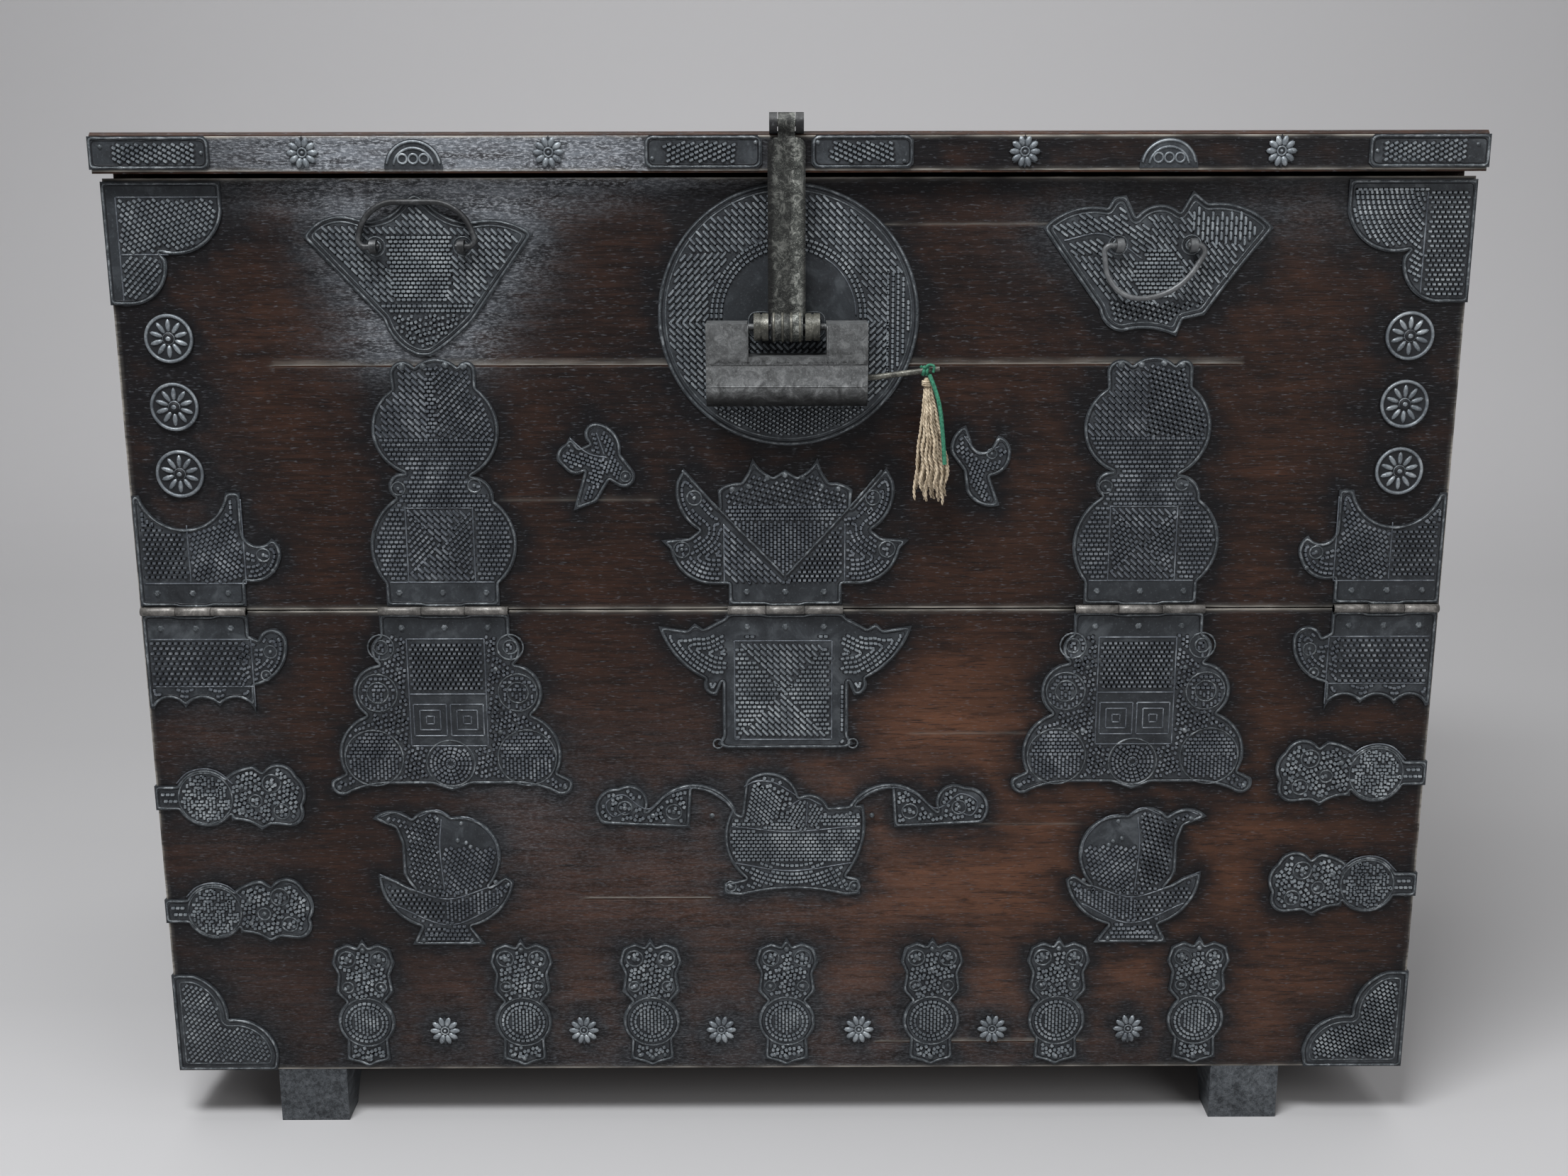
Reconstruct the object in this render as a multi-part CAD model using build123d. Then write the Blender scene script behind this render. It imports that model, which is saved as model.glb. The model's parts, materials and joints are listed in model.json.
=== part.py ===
from build123d import *
from math import atan2, cos, pi, sin
import os

# Korean bandaji: a chest whose upper front half is a drop door on five iron hinges, held shut by a hasp
# that hangs from the top board and a sliding-bolt padlock. Millimetres, +Z up, front towards -Y,
# x = 0 in mid width, y = 0 in mid depth over the lock, z = 0 on the floor.

# ---- driving dimensions: carcass ----
WIDTH = 900.0            # across the front
DEPTH = 430.0            # front face to back face
FOOT_HEIGHT = 42.0       # height of the runners
LOWER_HEIGHT = 349.0     # lower front board
DOOR_HEIGHT = 291.0
SEAM = 1.0               # gap between the lower front board and the door
DOOR_GAP = 3.0           # gap between the door and the top board
FRONT_THICK = 20.0       # door and lower front board
SIDE_THICK = 20.0
BACK_THICK = 18.0
BOTTOM_THICK = 15.0
BOTTOM_UP = 10.0         # underside of the bottom board above the lower edge of the front board
GROOVE = 6.0             # how deep the bottom board enters its grooves
TOP_THICK = 26.0
TOP_FRONT = 11.0         # overhangs of the top board
TOP_BACK = 6.0
TOP_SIDE = 2.0
TOP_CHAMFER = 2.0        # worn upper edges of the top board
TENON_HIGH = 12.0        # blind tenons of the sides in the top board
TENON_LONG = 70.0
TENON_THICK = 10.0
TENON_COUNT = 3
FINGER_COUNT = 7         # finger joint at the back corners
FRONT_FINGERS = 5        # half-blind fingers at the lower front corners
FRONT_LAP = 8.0          # wood left in front of the half-blind fingers
DOOR_REST = 0.5          # air between the closed door and the edges it rests on

# ---- runners ----
RUNNER_WIDE = 50.0
LEFT_RUNNER_IN = 96.5    # middle of each runner inward of the chest's side
RIGHT_RUNNER_IN = 114.0
HOOF_FLOOR = 27.0        # length of each foot on the floor
HOOF_TOP = 112.0         # length of each foot where it meets the rail
HOOF_SAG = 20.4          # how far the hollow curve runs forward of the foot
HOOF_DROP = 9.0          # and how far below the rail it is there
RAIL_THICK = 10.0

# ---- sheet ironwork ----
SHEET = 1.4              # sheet iron of the ornaments
TOP_SHEET = 1.2
CORNER_RETURN = 18.0     # how far the door's corner plates turn round the side
SIDE_RETURN = 36.0       # the same for the straps and the other corner plates
TURN_IN = 2.0            # front corner plates end below the board's edge
ORNAMENT = 1.0           # size of the ornaments against their patterns
PATTERN_WIDTH = 900.0    # boards for which the ornament patterns are drawn
PATTERN_LOWER = 349.0
PATTERN_DOOR = 291.0

# ---- hinges ----
BARREL_R = 2.8           # hinge knuckles
PIN_R = 1.4
PIN_CLEAR = 0.05
BARREL_OUT = 3.0         # hinge axis in front of the face
LEAF_NOTCH = 3.4         # leaf edge clear of the other leaf's knuckles
KNUCKLE_GAP = 0.4
KNUCKLES = 3
GOURD_IN = {"left": 210.0, "right": 208.0}   # middles of the gourd hinges inward of the chest's edge
CENTRE_X = -3.5
GOURD_HALF = 45.0        # half lengths of the barrels
CENTRE_HALF = 40.0
OUTER_BARREL = 74.0      # barrel of the outer hinges, from the chest's edge inward
EDGE_IN = 1.0            # outer leaves and barrels start inward of the chest's edge
NAIL_HEAD_R = 2.4
NAIL_HEAD = 1.1
NAIL_TAPER = 35.0        # degrees
NAIL_SHANK = 1.8
NAIL_LONG = 12.0
NAIL_SIDES = 6
NAIL_BAND = 12.5         # nail row's distance from the seam
NAILS_A_LEAF = 3

# ---- hasp ----
HASP_X = -2.2            # centre line of hasp, staples and padlock
HASP_WIDE = 24.5
HASP_THICK = 5.0
HASP_OUT = 18.0          # hasp and lock rod in front of the face
HASP_BARREL_R = 6.6
HASP_PIN_R = 2.4
HASP_CENTRE_WIDE = 11.0
HASP_SIDE_WIDE = 5.2
HASP_SHOULDER = 2.5      # the bar's shoulders below the side knuckles
HASP_ROUND = 6.0         # rounding of the shoulders
STRAP_LONG = 120.0
STRAP_THICK = 1.6
STRAP_LEAF = 8.0         # how far the strap's end leaf widens
EYE_R = 9.4
EYE_WIDE = 21.0
EYE_NECK = 5.0           # the bar narrows to the eye this far below the eye's top
STAPLE_R = 9.0
STAPLE_WIDE = 9.6
STAPLE_GAP = 1.6         # air between the hasp eye and each staple
STAPLE_STEM = 7.0
STAPLE_GROOVE = 1.6      # width and depth of the groove round each staple
STAPLE_GROOVE_DEEP = 0.8
CLINCH = 3.0             # staple stems and handle posts inside the door
ROD_ABOVE_SEAM = 195.6
ROD_R = 2.25
ROD_LOOSE = 0.35         # rod in the eyes
LOCK_PLATE_R = 87.0
LOCK_PLATE_X = -1.0
LOCK_PLATE_UP = 201.5    # above the seam

# ---- padlock ----
LOCK_LONG = 106.0
LOCK_DEEP = 27.0
CHEEK_WIDE = 27.0        # the two upright ends of the lock
CHEEK_OVER_ROD = 3.2
NOTCH_UNDER_ROD = 18.4
LOCK_TALL = 55.4
END_PLATE = 2.5
SLEEVE_CLEAR = 0.06      # rod in the lock
ROD_SOCKET = 20.0
CAVITY_WIDE = 13.0
CAVITY_CLEAR = 1.0       # chamber above and below the key's frame
LOCK_WALL = 3.5
KEY_R = 1.9
KEY_OUT = 48.0           # how far the key stands out of the lock
KEY_RISE = 5.6
KEY_BEND_OUT = 4.0       # the key's bend outside the lock
KEY_BEND_R = 20.0
STEM_LONG = 52.0
STEM_TALL = 5.0
STEM_THICK = 3.0
SPRING_THICK = 0.8
SPRING_SPREAD = 5.2
SPRING_ROOT = 6.0        # length riveted to the stem
SPRING_FREE = 36.4       # length of each leaf spring
KEY_OVER_BAR = 5.5       # key above the centre of the lock's round underside
STEM_OVER_KEY = 5.5      # spring stem above the key's shank
KEY_FRAME = 2.0          # frame at the key's tip that closes the springs
KEY_FRAME_HALF = 5.5
KEY_WINDOW_HALF = 3.2
KEY_WINDOW_CLEAR = 0.4
FRAME_WALL = 1.2
FRAME_CLEAR = 0.3
KEY_REACH = 62.0         # key inside the lock

# ---- tassel ----
KNOT_OUT = 38.5          # knot's middle outside the lock
KNOT_R = 3.6
KNOT_LONG = 7.0
KNOT_CHAMFER = 1.1
CORD_R = 1.4
TASSEL_TOP_R = 3.2
TASSEL_R = 14.0
TASSEL_LONG = 86.0
TASSEL_LEAN = 3.5        # degrees that the tassel hangs to the right
TASSEL_IN = 1.5          # tassel's top inward of the knot's middle
TASSEL_GAP = 0.5         # air between knot and tassel

# ---- bail handles ----
BAIL_UP = 247.5          # pivot height above the seam
BAIL_OUT = 8.0           # pivot in front of the face
LEFT_BAIL_R = 2.0
RIGHT_BAIL_R = 1.8
BAIL_IN = {"left": 205.5, "right": 209.0}    # middles of the bails inward of the chest's edge
LEFT_BAIL_HALF = 39.5
LEFT_BAIL_RISE = 29.0
RIGHT_BAIL_HALF = 35.0
RIGHT_BAIL_DROP = 34.5
LEFT_BAIL_LEAN = 8.0     # degrees that the raised bail leans on the door
BAIL_TIP_IN = 12.5       # bail ends inward of the arms
BAIL_ELBOW = 4.5         # bend where each arm turns into its eye
EYE_WALL = 2.4
EYE_LONG = 4.5
EYE_IN = 8.5             # outer side of the eye inward of the bail's arm
BAIL_CLEAR = 0.3
POST_R = 2.2

# ---- places of the single ornaments ----
DOOR_CORNER_REACH = {"left": 77.0, "right": 83.0}
DOOR_CORNER_TALL = 82.0
BASE_CORNER_TALL = 76.0
ROSETTE_R = 16.5
ROSETTE_IN = 35.5        # from the chest's edge
ROSETTE_UP = (187.5, 141.5, 96.0)
BIRD_X = {"left": -132.0, "right": 131.0}
BIRD_UP = 101.0
STRAP_TAB = 9.0          # half height of the side straps' tabs at the edge
STRAP_UP = {"left_upper": 212.5, "left_lower": 126.0, "right_upper": 228.5, "right_lower": 144.0}
PEACH_IN = {"left": 203.0, "right": 204.0}   # from the chest's edge
PEACH_UP = 99.5          # heights above the lower edge of the front board
BASKET_X = 1.0
BASKET_UP = 138.0
OWL_X = (-311.0, -196.0, -102.0, -3.0, 103.0, 195.0, 297.0)
OWL_UP = 38.0
FLOWER_X = (-254.0, -152.0, -51.0, 50.0, 148.0, 248.0)
FLOWER_UP = 31.0
FLOWER_R = 11.5
TOP_FLOWER_X = (-315.0, -156.0, 152.0, 318.0)
TOP_FLOWER_R = 10.5
TOP_ORNAMENT = 10.5      # half height of the plates on the edge of the top board
TOP_CLIP = 3.0           # their clipped corners
END_PLATE_IN = 75.0
HALF_ROUND_X = (-243.5, 245.5)
HALF_ROUND_R = 19.0
INNER_PLATES = ((-94.0, -18.0), (14.0, 80.0))

# ---- derived places ----
SPREAD = WIDTH / PATTERN_WIDTH
LOWER_RISE = LOWER_HEIGHT / PATTERN_LOWER
DOOR_RISE = DOOR_HEIGHT / PATTERN_DOOR
FIT = ORNAMENT * min(SPREAD, LOWER_RISE, DOOR_RISE)
FRONT = (HASP_OUT + LOCK_DEEP / 2 - DEPTH - TOP_BACK) / 2
BACK = FRONT + DEPTH
EDGE = WIDTH / 2
SIDES = {"left": -1, "right": 1}
BODY_BOTTOM = FOOT_HEIGHT
LOWER_TOP = BODY_BOTTOM + LOWER_HEIGHT
SEAM_Z = LOWER_TOP + SEAM / 2
DOOR_BOTTOM = LOWER_TOP + SEAM
DOOR_TOP = DOOR_BOTTOM + DOOR_HEIGHT
TOP_BOTTOM = DOOR_TOP + DOOR_GAP
TOP_Z = TOP_BOTTOM + TOP_THICK
TOP_MID = TOP_BOTTOM + TOP_THICK / 2
TOP_Y = FRONT - TOP_FRONT
BARREL_Y = FRONT - BARREL_OUT
ROD_Y = FRONT - HASP_OUT
ROD_Z = SEAM_Z + ROD_ABOVE_SEAM * DOOR_RISE
LOCK_TOP = ROD_Z + CHEEK_OVER_ROD
NOTCH_Z = ROD_Z - NOTCH_UNDER_ROD
LOCK_BOTTOM = LOCK_TOP - LOCK_TALL
BAR_Z = LOCK_BOTTOM + LOCK_DEEP / 2
LOCK_X0 = HASP_X - LOCK_LONG / 2
LOCK_X1 = HASP_X + LOCK_LONG / 2
LOCK_BODY_X0 = LOCK_X0 + END_PLATE
KEY_Z = BAR_Z + KEY_OVER_BAR
STEM_Z = KEY_Z + STEM_OVER_KEY
FRAME_LOW = KEY_Z - KEY_R
FRAME_TOP = STEM_Z + STEM_TALL / 2 + KEY_WINDOW_CLEAR + FRAME_WALL
HASP_AXIS_Z = TOP_Z - STRAP_THICK + HASP_BARREL_R
BAIL_Z = SEAM_Z + BAIL_UP * DOOR_RISE
BAILS = {                # middle, rod radius and half width
    "left": (BAIL_IN["left"] * SPREAD - EDGE, LEFT_BAIL_R, LEFT_BAIL_HALF),
    "right": (EDGE - BAIL_IN["right"] * SPREAD, RIGHT_BAIL_R, RIGHT_BAIL_HALF),
}
KNOT_X = LOCK_X1 + KNOT_OUT
KEY_SLOPE = KEY_RISE / (KEY_OUT - KEY_BEND_OUT)
KNOT_Z = KEY_Z + KEY_SLOPE * (KNOT_OUT - KEY_BEND_OUT)
CORD_POINTS = (
    (KNOT_X + 2.6, ROD_Y - 3.4, KNOT_Z - 2.4),
    (KNOT_X + 8.5, ROD_Y - 7.0, KNOT_Z - 16.0),
    (KNOT_X + 11.5, ROD_Y - 9.5, KNOT_Z - 38.0),
    (KNOT_X + 13.0, ROD_Y - 11.5, KNOT_Z - 61.0),
)
CORD_RADII = (28.0, 150.0)


# ---- helpers ----
def disc(x, z, r):
    return Pos(x, z) * Circle(r)


def rect(x0, z0, x1, z1):
    return Pos((x0 + x1) / 2, (z0 + z1) / 2) * Rectangle(abs(x1 - x0), abs(z1 - z0))


def outline(start, *steps):
    """Face inside straight steps (x, z) and arc steps ((x, z) on the arc, (x, z) at its end)."""
    edges = []
    at = start
    for step in steps + (start,):
        if isinstance(step[0], tuple):
            edges.append(ThreePointArc(at, step[0], step[1]))
            at = step[1]
        elif step != at:
            edges.append(Line(at, step))
            at = step
    return make_face(edges)


def both_halves(half):
    return half + mirror(half, Plane.YZ)


def handed(sketch, side):
    """Sketch drawn for the left side (-1), turned over for the right side (1)."""
    return sketch if side < 0 else mirror(sketch, Plane.YZ)


def joined(shapes):
    whole = shapes[0]
    for shape in shapes[1:]:
        whole = whole + shape
    return whole


def plate(sketch, x=0.0, z=0.0, thick=SHEET, face=FRONT):
    """Sheet cut to a sketch, its back on a face that looks to -Y."""
    return extrude(Plane.XZ.offset(-face) * (Pos(x, z) * sketch), thick)


def ornament(sketch, x, z, thick=SHEET, face=FRONT):
    """Plate cut to an ornament's pattern at the size that fits the boards."""
    return plate(scale(sketch, by=FIT), x, z, thick, face)


def block(x0, x1, y0, y1, z0, z1):
    size = Box(x1 - x0, y1 - y0, z1 - z0)
    return Pos((x0 + x1) / 2, (y0 + y1) / 2, (z0 + z1) / 2) * size


def side_skin(side, reach, z0, z1):
    """Part of an edge plate that is turned round the chest's side."""
    x0, x1 = sorted((side * EDGE, side * (EDGE + TOP_SHEET)))
    return block(x0, x1, FRONT - SHEET, FRONT + reach, z0, z1)


def rod_x(x0, x1, y, z, r):
    """Round bar along X."""
    return Pos((x0 + x1) / 2, y, z) * Rot(0, 90, 0) * Cylinder(r, x1 - x0)


def save(name, shape):
    shape.label = name
    export_step(shape, f"parts/{name}.step")


# ---- carcass ----
def steps_between(low, high, count):
    """Every second stretch of a finger joint, as (z0, z1)."""
    pitch = (high - low) / count
    return [(low + i * pitch, low + (i + 1) * pitch) for i in range(1, count, 2)]


def side_board(side):
    """Side board: set back behind the door, fingers front and back, tenons up into the top board."""
    x0, x1 = sorted((side * EDGE, side * (EDGE - SIDE_THICK)))
    front_edge = FRONT + FRONT_THICK
    back_edge = BACK - BACK_THICK
    board = block(x0, x1, front_edge, back_edge, BODY_BOTTOM, LOWER_TOP)
    board += block(x0, x1, front_edge + DOOR_REST, back_edge, LOWER_TOP, TOP_BOTTOM)
    for z0, z1 in steps_between(BODY_BOTTOM, LOWER_TOP, FRONT_FINGERS):
        board += block(x0, x1, FRONT + FRONT_LAP, front_edge, z0, z1)
    for z0, z1 in steps_between(BODY_BOTTOM, TOP_BOTTOM, FINGER_COUNT):
        board += block(x0, x1, back_edge, BACK, z0, z1)
    for tenon in tenons(side):
        board += tenon
    return board - bottom_board()


def tenons(side):
    """Blind tenons of one side board, which are also the mortises of the top board."""
    centre = side * (EDGE - SIDE_THICK / 2)
    run = DEPTH - FRONT_THICK - BACK_THICK
    tenon_list = []
    for i in range(TENON_COUNT):
        y = FRONT + FRONT_THICK + run * (i + 0.5) / TENON_COUNT
        tenon_list.append(block(centre - TENON_THICK / 2, centre + TENON_THICK / 2,
                                y - TENON_LONG / 2, y + TENON_LONG / 2, TOP_BOTTOM, TOP_BOTTOM + TENON_HIGH))
    return tenon_list


def bottom_board():
    """Bottom board, its edges in grooves of the four walls."""
    in_x = EDGE - SIDE_THICK + GROOVE
    y0 = FRONT + FRONT_THICK - GROOVE
    y1 = BACK - BACK_THICK + GROOVE
    z0 = BODY_BOTTOM + BOTTOM_UP
    return block(-in_x, in_x, y0, y1, z0, z0 + BOTTOM_THICK)


def lower_front_board():
    board = block(-EDGE, EDGE, FRONT, FRONT + FRONT_THICK, BODY_BOTTOM, LOWER_TOP)
    for side in (-1, 1):
        x0, x1 = sorted((side * EDGE, side * (EDGE - SIDE_THICK)))
        for z0, z1 in steps_between(BODY_BOTTOM, LOWER_TOP, FRONT_FINGERS):
            board -= block(x0, x1, FRONT + FRONT_LAP, FRONT + FRONT_THICK, z0, z1)
    return board - bottom_board()


def back_board():
    board = block(-EDGE, EDGE, BACK - BACK_THICK, BACK, BODY_BOTTOM, TOP_BOTTOM)
    for side in (-1, 1):
        x0, x1 = sorted((side * EDGE, side * (EDGE - SIDE_THICK)))
        for z0, z1 in steps_between(BODY_BOTTOM, TOP_BOTTOM, FINGER_COUNT):
            board -= block(x0, x1, BACK - BACK_THICK, BACK, z0, z1)
    return board - bottom_board()


def top_board():
    """Top board with mortises for the sides and a shallow bed for the hasp's strap."""
    board = block(-EDGE - TOP_SIDE, EDGE + TOP_SIDE, TOP_Y, BACK + TOP_BACK, TOP_BOTTOM, TOP_Z)
    long_edges = board.edges().filter_by(Axis.X).group_by(Axis.Z)[-1]
    board = chamfer(long_edges, TOP_CHAMFER)
    for side in (-1, 1):
        for mortise in tenons(side):
            board -= mortise
    return board - strap_bed()


def runner(x):
    """Runner with a hoof at each end, hollowed between them."""
    rail_z = BODY_BOTTOM - RAIL_THICK
    low_z = rail_z - HOOF_DROP
    near = ((FRONT + HOOF_FLOOR + HOOF_SAG, low_z), (FRONT + HOOF_TOP, rail_z))
    far = ((BACK - HOOF_FLOOR - HOOF_SAG, low_z), (BACK - HOOF_FLOOR, 0.0))
    side_view = outline((FRONT, 0.0), (FRONT + HOOF_FLOOR, 0.0), near, (BACK - HOOF_TOP, rail_z), far,
                        (BACK, 0.0), (BACK, BODY_BOTTOM), (FRONT, BODY_BOTTOM))
    return Pos(x - RUNNER_WIDE / 2, 0, 0) * extrude(Plane.YZ * side_view, RUNNER_WIDE)


def door_board():
    board = block(-EDGE, EDGE, FRONT, FRONT + FRONT_THICK, DOOR_BOTTOM, DOOR_TOP)
    return board - staple_stems() - joined(posts("left") + posts("right"))


# ---- hinges ----
def knuckle_spans(x0, x1, upper):
    """Stretches of the barrel that belong to the upper or the lower leaf."""
    pitch = (x1 - x0) / KNUCKLES
    first = 1 if upper else 0
    half_gap = KNUCKLE_GAP / 2
    return [(x0 + i * pitch + half_gap, x0 + (i + 1) * pitch - half_gap) for i in range(first, KNUCKLES, 2)]


def leaf(sketch, x, barrel, upper):
    """Hinge leaf: ornament sheet on the face, tabs at the seam rolled into this leaf's knuckles."""
    whole = ornament(sketch, x, SEAM_Z)
    x0, x1 = barrel
    reach = LEAF_NOTCH if upper else -LEAF_NOTCH
    edge_z = SEAM_Z + reach
    notch = sorted((SEAM_Z - reach, edge_z))
    whole -= block(x0 - SIDE_THICK, x1 + SIDE_THICK, FRONT - SHEET, FRONT, *notch)
    for a, b in knuckle_spans(x0, x1, upper):
        whole += block(a, b, FRONT - SHEET, FRONT, *sorted((SEAM_Z, edge_z)))
        whole += rod_x(a, b, BARREL_Y, SEAM_Z, BARREL_R)
        whole -= rod_x(a - KNUCKLE_GAP / 2, b + KNUCKLE_GAP / 2, BARREL_Y, SEAM_Z, PIN_R + PIN_CLEAR)
    return whole


def gourd_leaf():
    """Gourd: band, wide lower bulb, curled neck, round upper bulb, crown of three curls."""
    return outline((-39, 0), (39, 0), (39, 19), ((52, 42), (38, 77)), ((34, 89), (23, 94)),
                   ((43, 127), (29, 154)), (29, 166), ((23, 172), (17, 168)), ((3, 174), (-12, 168)),
                   ((-21, 172), (-29, 164)), (-28, 153), ((-43, 124), (-22, 96)), ((-32, 92), (-29, 79)),
                   ((-48, 44), (-39, 19)))


def lotus_leaf():
    """Lotus blossom: band, two tiers of side petals that curl out, crown with two horns."""
    half = outline((0, 0), (39, 0), (39, 18), (52, 18), ((71, 27), (79, 43)), (85, 49), (66, 50.5),
                   (59, 56), ((73, 73), (74, 90)), (69, 99), (45, 71), (46, 84), ((39, 88), (30, 89)),
                   (25, 97), (22, 106), ((15, 97), (8, 93)), (0, 98))
    return both_halves(half)


def roof_leaf():
    """Square with upturned eaves and curled lower corners."""
    half = outline((0, 0), (40, 0), (42, -6), (57, -14), (63, -10), (68, -15), (88, -12),
                   ((77, -33), (56, -50)), ((56, -58), (48, -62)), (44, -52), (44, -92), (48, -98),
                   (42, -101), (0, -101))
    return both_halves(half)


def pyramid_leaf():
    """Pile of roundels that widens downwards, with curled feet and a round boss in the middle."""
    half = outline((0, 0), (45, 0), (45, -18), ((52, -29), (47, -39)), ((66, -56), (58, -76)),
                   ((78, -100), (75, -119)), (85, -124), ((82, -134), (72, -133)), ((56, -128), (40, -127)),
                   (14, -127), (0, -132))
    return both_halves(half)


def outer_upper_leaf():
    """Quarter-cloud leaf at the chest's edge; x runs inward from the edge."""
    return outline((EDGE_IN, 0), (74, 0), (74, 21), ((91, 24), (99, 35)), ((100, 43), (94, 51)),
                   ((84, 46), (75, 56)), (75, 83), (65, 83), ((36, 58), (6, 81)), (EDGE_IN, 81))


def outer_lower_leaf():
    """Its counterpart below the seam: band, one side curl, pointed fringe."""
    return outline((EDGE_IN, 0), (74, 0), (74, -18), (80, -21), ((90, -13), (100, -24)),
                   ((95, -41), (75, -54)), (75, -74), ((63, -63), (50, -69)), ((38, -63), (26, -70)),
                   ((14, -63), (4, -71)), (EDGE_IN, -70))


def hinge_places():
    """Name of each hinge, the x of its leaves' patterns and the ends of its barrel."""
    places = {}
    for which, side in SIDES.items():
        places[f"{which}_gourd"] = (side * (EDGE - GOURD_IN[which] * SPREAD), GOURD_HALF * FIT)
    places["centre"] = (CENTRE_X * SPREAD, CENTRE_HALF * FIT)
    ends = {name: (x, (x - half, x + half)) for name, (x, half) in places.items()}
    near, far = EDGE - EDGE_IN, EDGE - OUTER_BARREL * FIT
    ends["left_outer"] = (-EDGE, (-near, -far))
    ends["right_outer"] = (EDGE, (far, near))
    return ends


def hinge_pins():
    pins = []
    for _, (x0, x1) in hinge_places().values():
        pins.append(rod_x(x0 + KNUCKLE_GAP / 2, x1 - KNUCKLE_GAP / 2, BARREL_Y, SEAM_Z, PIN_R))
    return Compound(children=pins)


def nail(x, z):
    """Hand-forged nail: faceted head on the sheet, square shank into the wood."""
    head_face = Plane.XZ.offset(SHEET - FRONT)
    rim = head_face * (Pos(x, z) * RegularPolygon(NAIL_HEAD_R, NAIL_SIDES))
    head = extrude(rim, NAIL_HEAD, taper=NAIL_TAPER)
    half = NAIL_SHANK / 2
    return head + block(x - half, x + half, FRONT - SHEET, FRONT - SHEET + NAIL_LONG, z - half, z + half)


def leaf_nails(out):
    """Rows of nails in the bands of all five leaves on one side of the seam."""
    nails = []
    for _, (x0, x1) in hinge_places().values():
        inset = (x1 - x0) / NAILS_A_LEAF / 2
        for i in range(NAILS_A_LEAF):
            nails.append(nail(x0 + inset + i * 2 * inset, SEAM_Z + out * NAIL_BAND * FIT))
    return Compound(children=nails)


# ---- door ornaments ----
def door_corner(side):
    """Two-lobed plate at an upper corner of the door, turned round its side; drawn from the corner."""
    reach = DOOR_CORNER_REACH["left" if side < 0 else "right"]
    low = -DOOR_CORNER_TALL
    shape = outline((0, -TURN_IN), (reach, -TURN_IN), (reach, -22), ((reach - 11, -41), (reach - 43, -47.5)),
                    (reach - 39, -52), ((reach - 43, -70), (14, low)), (0, low))
    skin = side_skin(side, CORNER_RETURN, DOOR_TOP + low * FIT, DOOR_TOP - TURN_IN)
    return ornament(handed(shape, side), side * EDGE, DOOR_TOP) + skin


def rosette(x, z):
    """Round boss: flat petal field on a raised rim, tapered middle."""
    half = outline((0, 0), (ROSETTE_R, 0), (ROSETTE_R, 1.6), (4.5, 1.6), (2.5, 3.0), (0, 3.0))
    return Pos(x, FRONT, z) * Rot(90, 0, 0) * scale(revolve(Plane.XZ * half, Axis.Z), by=FIT)


def fan_plate():
    """Fan-shaped backplate of the left bail; x from the bail's middle, z from its pivot."""
    return outline((-76, 6), ((-66, 16), (-40, 18)), ((-20, 20), (-10, 29)), (-2, 34), (7, 29),
                   ((20, 19), (40, 17)), ((62, 15), (75, 8)), (34, -48), ((21, -60), (4, -72)), (-4, -72),
                   ((-18, -63), (-26, -48)))


def bat_plate():
    """Bat-shaped backplate of the right bail: two wings, two ears, ragged tail."""
    return outline((-74, 11), ((-58, 22), (-32, 24)), (-28, 31), (-20, 32), (-13, 18), ((1, 26), (16, 21)),
                   (24, 35), (34, 27), ((56, 25), (78, 11)), ((62, -9), (35, -46)), (21, -49), (17, -60),
                   ((-4, -55), (-19, -57)), ((-30, -52), (-35, -42)), (-61, -7))


def left_bird():
    """Crested bird with a raised wing and a forked tail."""
    return outline((-26, 3), ((-25, 11), (-20, 15)), (-17, 20), (-11, 12), (-4, 15), ((-5, 27), (3, 29)),
                   ((13, 23), (17, 8)), (26, -4), ((24, -13), (15, -14)), (9, -10), (0, -25),
                   (-16, -31), (-8, -4), ((-14, -6), (-20, -3)))


def right_bird():
    """Its partner, wings spread, tail down."""
    return outline((-22, 8), ((-20, 20), (-12, 27)), (-8, 16), ((-1, 9), (6, 12)), (10, 20),
                   ((17, 15), (19, 7)), ((15, -3), (5, -8)), (12, -28), ((-4, -26), (-11, -18)), (-13, -4))


# ---- hasp and staples ----
def hasp_spans():
    """Centre knuckle of the hasp and side knuckles of the strap, along X."""
    c0 = HASP_X - HASP_CENTRE_WIDE / 2
    c1 = HASP_X + HASP_CENTRE_WIDE / 2
    left = (c0 - KNUCKLE_GAP - HASP_SIDE_WIDE, c0 - KNUCKLE_GAP)
    right = (c1 + KNUCKLE_GAP, c1 + KNUCKLE_GAP + HASP_SIDE_WIDE)
    return (c0, c1), (left, right)


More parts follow.
